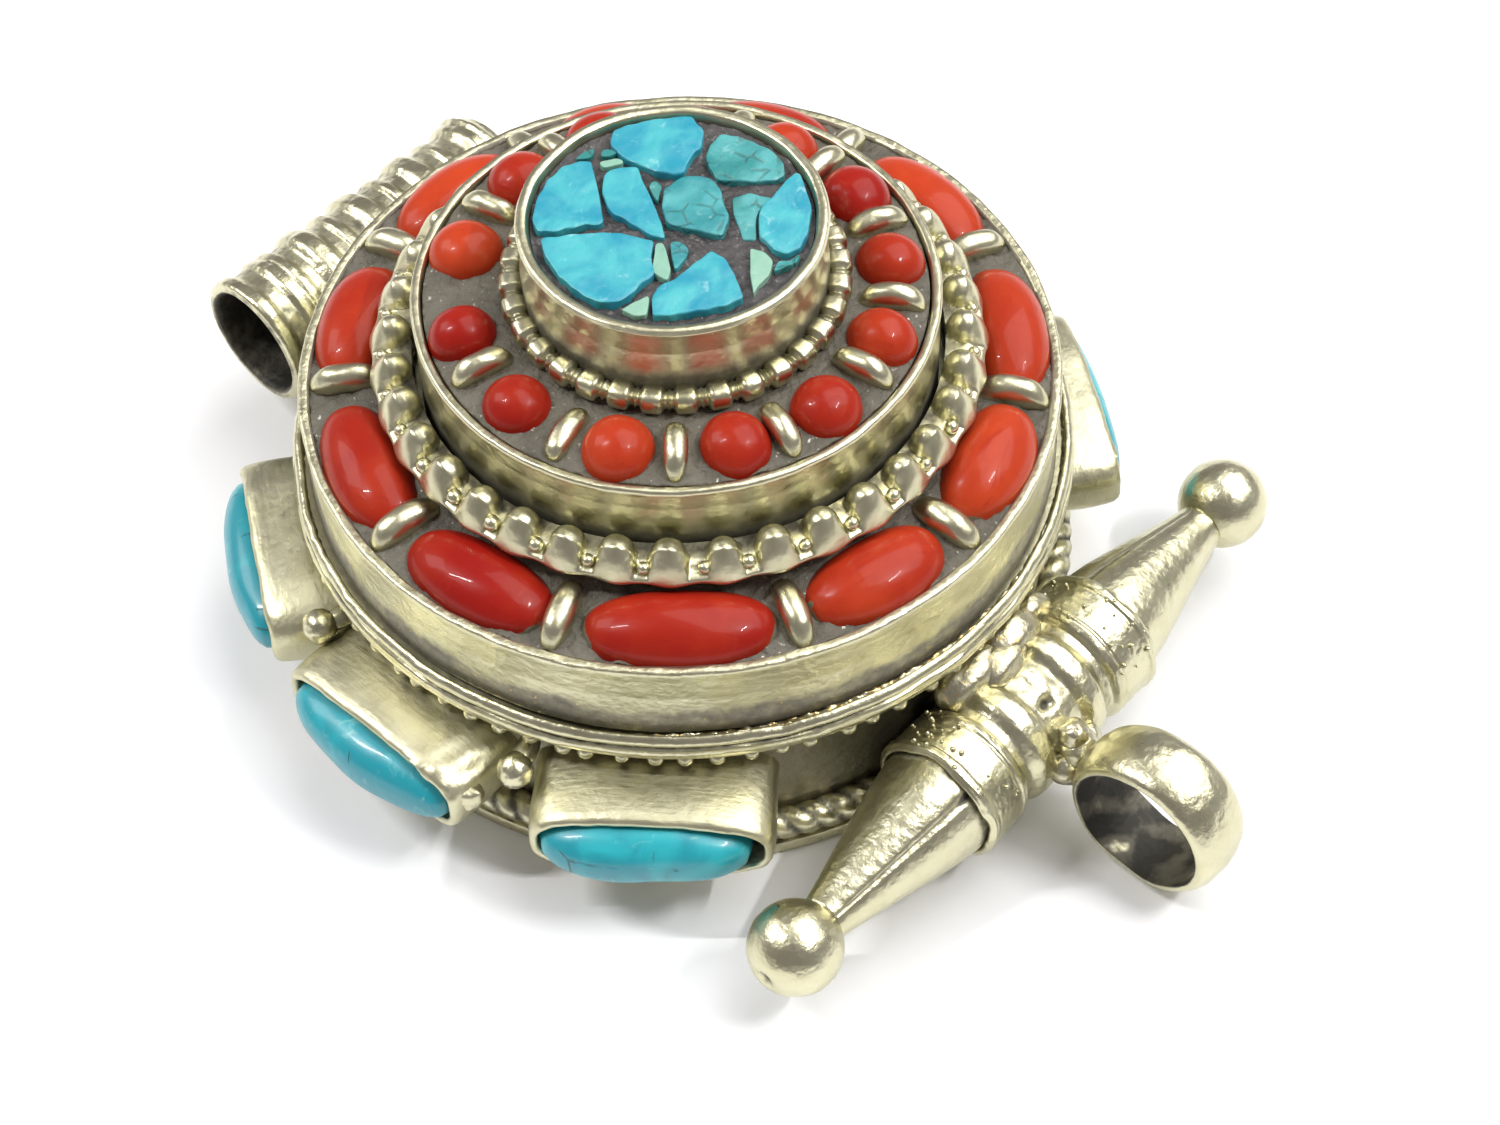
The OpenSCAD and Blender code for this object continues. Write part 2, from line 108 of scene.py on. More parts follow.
class Finish:
    """One material in the making: a Principled shader, and nodes added by what they do."""

    def __init__(self, name, **constants):
        self.material = bpy.data.materials.new(name)
        self.material.use_nodes = True
        self.tree = self.material.node_tree
        self.tree.nodes.clear()
        out = self.tree.nodes.new("ShaderNodeOutputMaterial")
        self.shader = self.tree.nodes.new("ShaderNodeBsdfPrincipled")
        self.tree.links.new(self.shader.outputs[0], out.inputs["Surface"])
        self.feed(**constants)

    def feed(self, **values):
        """Sets or links sockets of the shader; an underscore in a name stands for a space."""
        for name, value in values.items():
            socket = self.shader.inputs[name.replace("_", " ")]
            if isinstance(value, Value):
                self.tree.links.new(value.socket, socket)
            else:
                socket.default_value = value

    def node(self, kind, settings={}, inputs={}, output=0):
        """Any node: its type, its settings, then the values or links of its sockets."""
        made = self.tree.nodes.new(kind)
        for name, value in settings.items():
            setattr(made, name, value)
        for name, value in inputs.items():
            if isinstance(value, Value):
                self.tree.links.new(value.socket, made.inputs[name])
            else:
                made.inputs[name].default_value = value
        return Value(self, made.outputs[output])

    def sum(self, operation, first, second):
        return self.node("ShaderNodeMath", {"operation": operation}, {0: first, 1: second})

    def place(self):
        return self.node("ShaderNodeTexCoord", output="Object")

    def kept(self, name, output="Fac"):
        return self.node("ShaderNodeAttribute", {"attribute_name": name}, output=output)

    def stretch(self, vector, by):
        return self.node("ShaderNodeVectorMath", {"operation": "MULTIPLY"}, {0: vector, 1: by})

    def cloud(self, vector, across, detail=3.0, twist=0.0):
        """Soft blotches about that many millimetres across, 0 to 1."""
        return self.node("ShaderNodeTexNoise", {},
                         {"Vector": vector, "Scale": 1000 / across, "Detail": detail, "Distortion": twist})

    def steps(self, value, low, high):
        """0 below low, 1 above high, smooth between."""
        return self.node("ShaderNodeMapRange", {"interpolation_type": "SMOOTHSTEP"},
                         {"Value": value, "From Min": low, "From Max": high})

    def blend(self, share, first, second):
        return self.node("ShaderNodeMix", {"data_type": "RGBA"},
                         {0: share, 6: first, 7: second}, output=2)

    def bumps(self, height, depth, under=None):
        """Relief of that depth, in millimetres, for a height between 0 and 1."""
        inputs = {"Height": height, "Distance": depth / 1000, "Strength": 1.0}
        if under is not None:
            inputs["Normal"] = under
        return self.node("ShaderNodeBump", {}, inputs)


paper_white = Finish("table_sheet", Roughness=0.9, Specular_IOR_Level=0.1)
weave = paper_white.cloud(paper_white.place(), 6.0)
paper_white.feed(Base_Color=paper_white.blend(weave, (0.90, 0.90, 0.91, 1), (0.93, 0.93, 0.93, 1)))
side = np.array([[-1, -1, 0], [1, -1, 0], [1, 1, 0], [-1, 1, 0]]) * 0.9
sheet_mesh = bpy.data.meshes.new("table_sheet")
sheet_mesh.from_pydata(side.tolist(), [], [(0, 1, 2, 3)])
sheet_mesh.materials.append(paper_white.material)
table_sheet = bpy.data.objects.new("table_sheet", sheet_mesh)
bpy.context.scene.collection.objects.link(table_sheet)


# The back cover: a round silver plate, filed round at its edge, that the box lies on. It closes
# the case from behind; a short skirt soldered inside it grips the drum.
def shell(at, loop=False, ring=True, stain_and_painted_light=0.0, tone=0.0, grain=None):
    """One grid of points (rows, columns, 3) in millimetres; loop joins the last row to the first,
    ring the last column to the first. The stain value and tone colour it: the stain value is oxide on silver
    and cement smear on corals, and also painted shade in bores and painted sheen near the foot of corals;
    grain is its own lengthwise frame."""
    wide = at.shape[:2]
    return at, loop, ring, np.broadcast_to(stain_and_painted_light, wide), np.broadcast_to(tone, wide), at if grain is None else grain


def piece(name, shells, body, finish, stands_for=(), crease=38):
    """One mesh from closed grids: corner (i, j) joins (i + 1, j) and (i, j + 1); doubles at poles are merged."""
    quads, start = [], 0
    for at, loop, ring, *_ in shells:
        n, m = at.shape[:2]
        i = np.arange(n if loop else n - 1)[:, None]
        j = np.arange(m if ring else m - 1)[None, :]
        i2, j2 = (i + 1) % n, (j + 1) % m
        quads.append(start + np.stack([i * m + j, i * m + j2, i2 * m + j2, i2 * m + j], -1).reshape(-1, 4))
        start += n * m
    corners = np.concatenate([s[0].reshape(-1, 3) for s in shells])
    mesh = bpy.data.meshes.new(name)
    mesh.from_pydata((corners / 1000).tolist(), [], np.concatenate(quads).tolist())
    for attribute, kept in (("stain_and_painted_light", 3), ("tone", 4)):
        mesh.attributes.new(attribute, "FLOAT", "POINT").data.foreach_set(
            "value", np.concatenate([s[kept].reshape(-1) for s in shells]).astype(np.float32))
    grain = np.concatenate([s[5].reshape(-1, 3) for s in shells]) / 1000
    mesh.attributes.new("grain", "FLOAT_VECTOR", "POINT").data.foreach_set("vector", grain.astype(np.float32).ravel())
    work = bmesh.new()
    work.from_mesh(mesh)
    bmesh.ops.remove_doubles(work, verts=work.verts, dist=2e-7)
    bmesh.ops.recalc_face_normals(work, faces=work.faces)
    work.to_mesh(mesh)
    work.free()
    mesh.materials.append(finish.material)
    mesh.shade_smooth()
    mesh.set_sharp_from_angle(angle=np.radians(crease))
    made = bpy.data.objects.new(name, mesh)
    bpy.context.scene.collection.objects.link(made)
    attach(made, body)
    if stands_for:
        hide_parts(*stands_for)
    return made


def turned(outline, around):
    """An outline of (radius, height) points carried round the upright axis: (r cos a, r sin a, z)."""
    a = np.linspace(0, 2 * np.pi, around, endpoint=False)
    r, z = outline[:, 0][:, None], outline[:, 1][:, None]
    return np.stack([r * np.cos(a), r * np.sin(a), z + 0 * a], -1)


def softened(corners, radius, steps=4):
    """A closed outline with rounded corners: (1 - t)^2 a + 2 t (1 - t) corner + t^2 b near each one."""
    c = np.asarray(corners, float)
    ends = []
    for way in (np.roll(c, 1, 0) - c, np.roll(c, -1, 0) - c):
        length = np.linalg.norm(way, axis=1, keepdims=True)
        ends.append(c + way / length * np.minimum(radius, 0.49 * length))
    t = np.linspace(0, 1, steps + 1)[None, :, None]
    curve = (1 - t) ** 2 * ends[0][:, None] + 2 * t * (1 - t) * c[:, None] + t ** 2 * ends[1][:, None]
    return curve.reshape(-1, c.shape[1])


def divided(outline, step, closed=True):
    """The same outline with more points on it, none further apart than a step."""
    line = np.vstack([outline, outline[:1]]) if closed else outline
    along = np.concatenate([[0], np.cumsum(np.linalg.norm(np.diff(line, axis=0), axis=1))])
    marks = np.union1d(along, np.arange(0, along[-1], step))
    marks = marks[np.concatenate([[True], np.diff(marks) > step * 0.05])]
    out = np.stack([np.interp(marks, along, line[:, k]) for k in range(line.shape[1])], -1)
    return out[:-1] if closed else out


def uneven(at, across, seed):
    """A smooth hand-made unevenness from -1 to 1: the mean of nine sines of the place, in random ways."""
    rng = np.random.default_rng(seed)
    ways = rng.normal(size=(9, 3))
    ways *= 2 * np.pi / across * rng.uniform(0.6, 1.5, (9, 1)) / np.linalg.norm(ways, axis=1, keepdims=True)
    return np.sin(at @ ways.T + rng.uniform(0, 6.28, 9)).mean(-1) * 1.9


def low(node):
    """Lowest corner of a part of the frame, in millimetres."""
    return np.array(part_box(node)[0]) * 1000


def high(node):
    """Highest corner of a part of the frame, in millimetres."""
    return np.array(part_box(node)[1]) * 1000


def metal(name, clean, oxide, polish, dull, brushed=0.0, pitted=0.0, even=0.5, flecks=0.0, patchy=1.0):
    """Old silver: clean metal where hands rub it, grey-brown oxide where the stain value is high, and near
    black where it is highest, which is the deepest oxide and also painted shade in bores; with brushed lines
    along the grain and fine pits. polish and dull are the roughness of clean and oxidised metal, patchy how
    far the two wander into each other."""
    f = Finish(name)
    place, grain = f.place(), f.kept("grain", "Vector")
    spread = f.kept("stain_and_painted_light") + (f.cloud(place, 3.2) - 0.5) * (0.9 * patchy) + (f.cloud(place, 0.55, 4.0) - 0.5) * (0.7 * patchy)
    oxide_and_painted_shade = f.steps(spread, even - 0.22, even + 0.28)
    tint = f.blend(f.cloud(place, 1.7, 5.0, 0.6), (*clean, 1), (*[c * t for c, t in zip(clean, (0.80, 0.78, 0.66))], 1))
    colour = f.blend(oxide_and_painted_shade, tint, (*oxide, 1))
    # near black where the stain value runs highest: the deepest oxide, and painted shade in the bores of the hanging
    # ring and the cord tube
    colour = f.blend(f.steps(spread, 1.05, 1.45), colour, (*[c * 0.25 for c in oxide], 1))
    if flecks:
        gold = f.steps(f.cloud(place, 0.30, 2.0) + f.kept("tone") * 0.34, 0.90 - flecks, 0.97 - flecks)
        colour = f.blend(gold, colour, (0.66, 0.50, 0.22, 1))
        oxide_and_painted_shade = oxide_and_painted_shade * (1 - gold)
    lines = f.cloud(f.stretch(grain, (0.12, 1.0, 1.0)), 0.22, 2.0)
    rough = oxide_and_painted_shade * (dull - polish) + f.cloud(place, 0.9, 4.0) * 0.16 + lines * (0.22 * brushed) + (polish - 0.08)
    relief = f.bumps(f.cloud(place, 0.5, 5.0), 0.035 + 0.10 * pitted)
    if brushed:
        relief = f.bumps(lines, 0.018 * brushed, relief)
    f.feed(Base_Color=colour, Metallic=1 - oxide_and_painted_shade * 0.55, Roughness=rough, Normal=relief)
    return f


CLEAN = (0.68, 0.655, 0.475)
OXIDE = (0.11, 0.10, 0.072)
bright = metal("silver_bright", CLEAN, OXIDE, 0.33, 0.52, even=0.95)
burnt = metal("silver_walls", CLEAN, OXIDE, 0.28, 0.50, brushed=0.4, even=0.72, patchy=0.4)
silver = metal("silver_worn", CLEAN, OXIDE, 0.30, 0.55, pitted=0.25, even=0.72)
brushed = metal("silver_brushed", CLEAN, OXIDE, 0.30, 0.52, brushed=1.0, even=0.80)
dark = metal("silver_oxidised", (0.34, 0.32, 0.25), (0.075, 0.068, 0.05), 0.36, 0.60, brushed=0.8, pitted=0.5, even=0.5)
crusty = metal("silver_solder", (0.62, 0.59, 0.45), (0.13, 0.115, 0.08), 0.32, 0.62, pitted=0.4, even=0.66, flecks=0.10)

plate_low, plate_high = low("back_cover"), high("back_cover")
plate_r, plate_t = plate_high[0], plate_high[2]
edge = np.array([[0, 0], [8, 0], [14, 0], [16.4, 0], [16.7, 0.09], [17.0, 0], [19, 0], [plate_r - 0.5, 0],
                 [plate_r - 0.14, 0.06], [plate_r, 0.3], [plate_r, plate_t - 0.3], [plate_r - 0.12, plate_t - 0.05],
                 [plate_r - 0.5, plate_t], [18, plate_t], [10, plate_t], [0, plate_t]], float)
at = turned(divided(edge, 1.2, False), 180)
at[..., :2] *= 1 + 0.0016 * uneven(at, 9, 3)[..., None] * (at[..., 2:] > 0.15)
piece("back_plate", [shell(at, stain_and_painted_light=0.25 + 0.25 * (at[..., 2] > 0.8))], "cover", silver, ["back_cover"])
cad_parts["cover_skirt"].data.materials[0] = brushed.material


# The drum: a strip of sheet silver bent round and soldered, left dark, with a deck across its
# top. A flat wire stands on the deck's edge, and its inner side was flooded with gold-coloured solder.
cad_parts["drum_wall"].data.materials[0] = dark.material
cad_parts["deck"].data.materials[0] = brushed.material
deck_z, top_z = low("deck")[2], high("deck")[2]
deck_r = high("deck")[0]
rim_z = high("rim_ring")[2]
rim_in = 20.35
rise = rim_z - top_z
edge = softened([(rim_in, deck_z + 0.1), (rim_in, rim_z - 0.05), (rim_in + 0.16, rim_z + 0.06), (deck_r - 0.16, rim_z - 0.08),
                 (deck_r - 0.02, top_z + 0.62 * rise), (deck_r - 0.08, top_z + 0.34 * rise),
                 (deck_r - 0.3, top_z + 0.18 * rise), (deck_r - 0.05, top_z + 0.05 * rise),
                 (deck_r + 0.08, top_z - 0.22), (deck_r + 0.02, deck_z + 0.02), (deck_r - 0.3, deck_z - 0.04)], 0.12, 3)
at = turned(edge, 540)
angle = np.arctan2(at[..., 1], at[..., 0])
flow = np.clip(uneven(at, 7, 11) * 0.6 + 0.5, 0, 1)
out = at[..., :2] / np.linalg.norm(at[..., :2], axis=-1, keepdims=True)
at[..., :2] += out * (0.05 * uneven(at, 5, 12) + 0.035 * uneven(at, 1.1, 13) * flow)[..., None]
at[..., 2] += (0.05 * uneven(at, 6, 14) + 0.05 * uneven(at, 1.3, 15) * flow) * (at[..., 2] > top_z)
groove = np.exp(-((at[..., 2] - top_z - 0.18 * rise) / (0.15 * rise)) ** 2)
piece("deck_rim", [shell(at, loop=True, stain_and_painted_light=0.15 + 0.75 * groove + 0.25 * flow)], "case", silver, ["rim_ring"], 55)

crust = softened([(20.12, top_z + 0.25), (20.12, rim_z - 0.25), (20.26, rim_z + 0.06), (20.48, rim_z + 0.02),
                  (20.5, top_z + 0.25)], 0.12, 3)
at = turned(divided(crust, 0.14), 900)
angle = np.degrees(np.arctan2(at[..., 1], at[..., 0]))
filled = np.clip(1.1 - np.abs((angle - 66 + 180) % 360 - 180) / 70, 0, 1)
at[..., 2] += 0.14 * uneven(at, 0.7, 21) + 0.10 * uneven(at, 0.33, 22) - 0.55 * (1 - filled)
at[..., :2] *= (1 + 0.0016 * uneven(at, 0.5, 23) + 0.007 * (1 - filled))[..., None]
piece("rim_solder", [shell(at, loop=True, stain_and_painted_light=0.5, tone=filled)], "case", crusty, (), 75)


# Under the deck a beaded wire runs round the drum: a row of small half-balls punched in strip
# silver. Round the foot runs a thicker wire, twisted like a rope.
def ball(rings=8, around=12):
    """The unit ball: (cos b cos a, cos b sin a, sin b), poles closed."""
    b = np.linspace(-np.pi / 2, np.pi / 2, rings + 1)[:, None]
    a = np.linspace(0, 2 * np.pi, around, endpoint=False)[None, :]
    return np.stack([np.cos(b) * np.cos(a), np.cos(b) * np.sin(a), np.sin(b) + 0 * a], -1)


drum_r = high("drum_wall")[0]
wire_z = deck_z - 0.6
bead_count = 78
bead = ball(7, 12)
rng = np.random.default_rng(31)
shells = []
for k in range(bead_count):
    a = 2 * np.pi * (k + 0.12 * rng.normal()) / bead_count
    size = 0.47 + 0.03 * rng.normal()
    if abs(np.sin(a)) > 0.96 and np.sin(a) < 0:
        continue
    centre = np.array([np.cos(a), np.sin(a), 0]) * (drum_r + 0.60) + (0, 0, wire_z)
    at = centre + bead * (size, size, size * 0.95)
    shells.append(shell(at, stain_and_painted_light=0.2 + 0.55 * (bead[..., 2] < -0.2)))
strip = softened([(drum_r - 0.1, wire_z - 0.42), (drum_r - 0.1, wire_z + 0.6), (drum_r + 0.75, wire_z + 0.6),
                  (drum_r + 0.62, wire_z + 0.1), (drum_r + 0.3, wire_z - 0.42)], 0.2, 3)
at = turned(strip, 480)
at[..., :2] *= (1 + 0.0022 * uneven(at, 1.4, 32))[..., None]
shells.append(shell(at, loop=True, stain_and_painted_light=0.55))
piece("bead_strip", shells, "case", silver, ["bead_wire"], 60)

rope_low, rope_high = low("rope_wire")[2], high("rope_wire")[2]
a = np.linspace(0, 2 * np.pi, 900, endpoint=False)[None, :]
turn = np.linspace(0, 2 * np.pi, 20, endpoint=False)[:, None]
strands = 54
twist = np.abs(np.sin(strands * a + turn * 1.0))
r = 0.66 + 0.2 * twist ** 0.6
ring_at = drum_r + 0.72
mid = (rope_low + rope_high) / 2 - 0.15
at = np.stack([(ring_at + r * np.cos(turn)) * np.cos(a), (ring_at + r * np.cos(turn)) * np.sin(a), mid + r * np.sin(turn)], -1)
at[..., 2] += 0.05 * uneven(at, 1.5, 33)
piece("rope_strand", [shell(at, loop=True, stain_and_painted_light=1.0 - 0.6 * twist)], "case", silver, ["rope_wire"], 70)


# Six oblong bezels stand out from the drum, three on each side: strip silver bent to a long oval,
# soldered on, and its lip pressed over a turquoise cabochon. Small balls sit between them.
bezel_low, bezel_high = low("side_bezels"), high("side_bezels")
bezel_z = (bezel_low[2] + bezel_high[2]) / 2
half_h = (bezel_high[2] - bezel_low[2]) / 2
half_l = 6.2
bezel_rim = bezel_high[0]
bezel_way = np.array([-1.6, 37, -36, 180, 143, 217])
bezel_out = np.array([0, 0.0, -0.15, -0.1, -0.85, -0.2]) + bezel_rim
bezel_swell = (1.75, 1.75, 1.75, 1.75, 0.85, 1.6)


def oval(around, power):
    """A long oval of half sizes 1 and 1: x = sign(cos t) |cos t|^(2/power), y the same of sin t."""
    t = np.linspace(0, 2 * np.pi, around, endpoint=False)
    bend = lambda v: np.sign(v) * np.abs(v) ** (2 / power)
    return np.stack([bend(np.cos(t)), bend(np.sin(t))], -1)


def outward(lie, way):
    """Local (along, up, out) points turned so that out points that many degrees round the drum."""
    c, s = np.cos(np.radians(way)), np.sin(np.radians(way))
    along, up, out = lie[..., 0], lie[..., 1], lie[..., 2]
    return np.stack([out * c - along * s, out * s + along * c, up], -1)


turquoise = Finish("turquoise_cabochon", Roughness=0.36, Coat_Weight=0.3, Coat_Roughness=0.12, IOR=1.5)
place, tone = turquoise.place(), turquoise.kept("tone")
patch = turquoise.cloud(place, 2.6, 4.0, 0.8)
sky = turquoise.blend(turquoise.steps(patch + tone * 0.3, 0.42, 0.75), (0.010, 0.27, 0.33, 1), (0.020, 0.40, 0.45, 1))
milk = turquoise.steps(turquoise.cloud(place, 1.1, 5.0, 1.2), 0.62, 0.80)
sky = turquoise.blend(milk * 0.6, sky, (0.26, 0.56, 0.54, 1))
cell = turquoise.node("ShaderNodeTexVoronoi", {"feature": "DISTANCE_TO_EDGE"},
                      {"Vector": turquoise.stretch(place, (1, 1, 0.6)), "Scale": 1000 / 4.6, "Randomness": 1.0}, output="Distance")
vein = (1 - turquoise.steps(cell, 0.002, 0.012)) * turquoise.steps(turquoise.cloud(place, 1.4, 3.0), 0.50, 0.62)
turquoise.feed(Base_Color=turquoise.blend(vein * 0.55, sky, (0.035, 0.06, 0.05, 1)),
               Normal=turquoise.bumps(vein * -1.0 + turquoise.cloud(place, 0.8, 4.0) * 0.25, 0.10))

rim_line = oval(128, 3.1)
shells, stones = [], []
for k, way in enumerate(bezel_way):
    reach = bezel_out[k]
    # one loop across the wall: (distance from the drum axis as a share, share of the way inwards, distance inwards)
    inset = np.array([0, 0, -0.05, -0.06, -0.02, 0.04, 0.16, 0.32, 0.44, 0.50, 0.50, 0.50, 0.50])
    depth = np.array([9, 3.0, 2.2, 1.4, 0.7, 0.3, 0.06, 0.0, 0.05, 0.22, 0.6, 2.0, 9])
    half = np.array([half_l, half_h])
    flat = rim_line[None] * (half - inset[:, None, None])
    base = np.sqrt(drum_r ** 2 - flat[..., 0] ** 2) - 0.3
    out = np.maximum(reach - depth[:, None], base)
    out = np.where(depth[:, None] > 8, base, out)
    lie = np.stack([flat[..., 0], flat[..., 1], out], -1)
    soft = np.clip((out - base) / 1.5, 0, 1)
    lie[..., 1] += soft * 0.06 * uneven(lie + 40 * k, 4.5, 41)
    lie[..., 2] += np.where(depth[:, None] < 1, 0.07 * uneven(lie + 40 * k, 3.0, 42) + 0.03 * uneven(lie + 40 * k, 0.8, 43), 0)
    if k == 0:  # the end that the punch bruised when the lip was closed
        bruise = np.clip((lie[..., 0] - 2.8) / 1.6, 0, 1) * np.clip(out - base - 0.3, 0, 1) * (lie[..., 1] > -1)
        lie[..., 1] += bruise * 0.16 * (0.5 + uneven(lie, 1.0, 44)) * (depth[:, None] < 5)
    grain = np.stack([lie[..., 0], lie[..., 2], lie[..., 1]], -1)
    at = outward(lie + (0, bezel_z, 0), way)
    inner = (inset[:, None] > 0.45) * 0.9
    shells.append(shell(at, loop=True, stain_and_painted_light=np.clip(1.0 - (out - base) / 0.7, 0, 1) * 0.8 + inner + 0 * out, grain=grain))

    slide, shorter = (-0.28, 0.95) if k == 1 else (0.05, 0.985)
    size = (half - 0.56) * (shorter, 0.98)
    rows = np.array([[0, 0, 2.2], [0.9, 1, 2.2], [1, 1, 2.1], [1, 1, 1.2], [1, 1, 0.45], [0.985, 1, 0.2]])
    dome = np.linspace(0.965, 0, 16)
    swell = bezel_swell[k] * (1 - dome ** 2.5) ** 0.62
    share = np.concatenate([rows[:, 0] * rows[:, 1], dome])
    rise = np.concatenate([-rows[:, 2], swell - 0.12])
    flat = oval(96, 2.5)[None] * size * share[:, None, None]
    lie = np.stack([flat[..., 0] + slide, flat[..., 1], reach + rise[:, None] + 0 * flat[..., 0]], -1)
    lie[..., 2] += np.where(rise[:, None] > 0, 0.10 * uneven(lie + 30 * k, 5.0, 45), 0) * np.clip(rise[:, None], 0, 1)
    stones.append(shell(outward(lie + (0, bezel_z, 0), way), tone=rng.uniform(-1, 1)))
knock = ball(18, 26)
knock = knock * (0.85, 0.8, 0.75) * (1 + 0.12 * uneven(knock, 0.8, 48))[..., None]
shells.append(shell(outward(knock + (5.9, bezel_z + 0.5, bezel_out[0] - 1.3), bezel_way[0]), stain_and_painted_light=0.1))
piece("bezel_boxes", shells, "case", brushed, ["side_bezels"], 50)
piece("bezel_stones", stones, "case", turquoise, ["side_stones"], 60)

shells = []
for k, way in enumerate((-18.5, 18.5, 161.5, 198.5)):
    lump = ball(20, 28)
    lump = lump * (1 + 0.05 * uneven(lump + k, 0.9, 46) + 0.03 * uneven(lump + k, 0.35, 47))[..., None] * 0.93
    lie = lump[..., [0, 1, 2]] + (0, deck_z - 1.6, drum_r + 2.2)
    shells.append(shell(outward(lie, way), stain_and_painted_light=0.25 + 0.5 * (lump[..., 1] < -0.1)))
    post = ball(8, 14) * (0.62, 0.62, 1.5) + (0, deck_z - 1.65, drum_r + 1.0)
    shells.append(shell(outward(post, way), stain_and_painted_light=0.6))
piece("drum_grains", shells, "case", silver, ["drum_balls"])


# The ribbed tube behind the drum takes the cord: sheet silver rolled up, with wide and narrow
# ribs pressed round it in turn, and a rounded mouth at each end. It is soldered to the drum wall.
def lengthwise(outline, around):
    """An outline of (place along, radius) carried round a lying axis: (x, r cos a, r sin a)."""
    a = np.linspace(0, 2 * np.pi, around, endpoint=False)
    x, r = outline[:, 0][:, None], outline[:, 1][:, None]
    return np.stack([x + 0 * a, r * np.cos(a), r * np.sin(a)], -1)


def hump(x, centre, half_width):
    """A rounded bump of height 1: exp(-((x - centre) / half_width)^4)."""
    return np.exp(-((x - centre) / half_width) ** 4)


tube_half, tube_bore, tube_yaw, pitch = 9.2, 3.2, np.radians(-4), 4.0
tube_at = (low("bail_tube") + high("bail_tube")) / 2
x = np.linspace(-tube_half, tube_half, 260)
wall = 3.62 + sum(0.38 * hump(x, pitch * k, 0.74) for k in range(-2, 2))
wall += sum(0.22 * hump(x, pitch * (k + 0.5), 0.36) for k in range(-2, 2)) + 0.2 * hump(x, 1.7 * pitch, 0.42)
wall += sum(0.28 * hump(x, s * (tube_half - 0.42), 0.5) for s in (-1, 1))
ends = np.array([[tube_half + 0.06, 3.62], [tube_half + 0.10, 3.42], [tube_half, 3.26], [tube_half - 0.3, tube_bore]])
inside = np.stack([np.linspace(tube_half - 1, 1 - tube_half, 30), np.full(30, tube_bore)], -1)
outline = np.vstack([np.stack([x, wall], -1), ends, inside, (ends * (-1, 1))[::-1]])
at = lengthwise(outline, 128)
hollow = (np.hypot(at[..., 1], at[..., 2]) < 3.3)
at[..., 1:] *= (1 + np.where(hollow, 0.004, 0.014) * uneven(at, 3.0, 51) + np.where(hollow, 0, 0.007) * uneven(at, 0.9, 52))[..., None]
valley = np.clip((3.86 - np.hypot(at[..., 1], at[..., 2])) / 0.25, 0, 1)
grain = np.stack([np.hypot(at[..., 1], at[..., 2]) * 0, at[..., 0], at[..., 2]], -1)
# the bore is set darkest, near black: painted shade inside the tube, with its oxide; the valleys between the ribs
# somewhat darker
shade = np.where(hollow, 1.3, 0.1 + 0.6 * valley)
c, s = np.cos(tube_yaw), np.sin(tube_yaw)
at = np.stack([at[..., 0] * c - at[..., 1] * s, at[..., 0] * s + at[..., 1] * c, at[..., 2]], -1) + tube_at
piece("cord_tube", [shell(at, loop=True, stain_and_painted_light=shade)], "case", silver, ["bail_tube"], 60)

lump = ball(24, 36)
shells = []
for k in range(4):
    at = lump * (1.7, 1.3, 1.5) * (1 + 0.16 * uneven(lump + 9 * k, 0.8, 55))[..., None]
    shells.append(shell(at + (-4.0 + 2.2 * k, -drum_r - 0.7, 6.2), stain_and_painted_light=0.55, tone=0.4))
piece("tube_solder", shells, "case", crusty, ["bail_saddle"], 70)


# The barrel on the front of the drum: a tube with a collar at each end and two thick rings round
# its middle, all run together with solder. A hollow cone with a ball on its tip is plugged in each end.
barrel_y, barrel_z = 23.1, 4.6
collar_x, body_r = 7.2, 3.25
x = np.linspace(-collar_x, collar_x, 300)
away = np.abs(x)
wall = np.interp(away, [0, 1.0, 3.0, 3.7, 4.2, 4.6, 6.2, 6.8, 7.0, 7.2],
                 [3.36, 3.3, 3.22, 3.22, 3.4, 3.62, 3.68, 3.62, 3.66, 3.55])
wall = wall + 0.42 * hump(away, 2.16, 0.80) + 0.22 * hump(away, 4.1, 0.30) + 0.14 * hump(away, 6.75, 0.28)
mouth = np.array([[collar_x + 0.02, 3.42], [collar_x - 0.1, 3.30], [collar_x - 0.8, 3.28], [collar_x - 0.9, 2.7]])
inside = np.array([[4, 2.7], [0, 2.7], [-4, 2.7]])
outline = np.vstack([np.stack([x, wall], -1), mouth, inside, (mouth * (-1, 1))[::-1]])
at = lengthwise(outline, 192)
far = np.clip((np.abs(at[..., 0]) - 6.4) / 0.8, 0, 1)
ragged = uneven(np.stack([at[..., 1] * 0.7, at[..., 2] * 0.7, np.sign(at[..., 0]) * 20], -1), 2.0, 61)
at[..., 0] -= np.sign(at[..., 0]) * far * (0.10 + 0.22 * np.clip(ragged, -0.3, 1))
melt = np.clip(0.9 - np.abs(np.abs(at[..., 0]) - 0.2) / 1.6, 0, 1) + 0.6 * np.clip((at[..., 2] - 0.5) / 3, 0, 1)
solid = np.hypot(at[..., 1], at[..., 2]) > 3.0
at[..., 1:] *= (1 + solid * (0.014 * uneven(at, 3.4, 62) + 0.016 * melt * uneven(at, 1.7, 63) + 0.004 * uneven(at, 0.5, 64)))[..., None]
pit = np.exp(-((at[..., 0] - 0.3) ** 2 + (np.degrees(np.arctan2(at[..., 2], at[..., 1])) / 14 - 4.2) ** 2) / 0.16)
at[..., 1:] *= (1 - 0.13 * pit * solid)[..., None]
seam = np.clip(0.5 * np.exp(-((np.abs(at[..., 0]) - 3.3) / 0.4) ** 2) + 0.45 * np.exp(-((np.abs(at[..., 0]) - 1.0) / 0.5) ** 2), 0, 1)
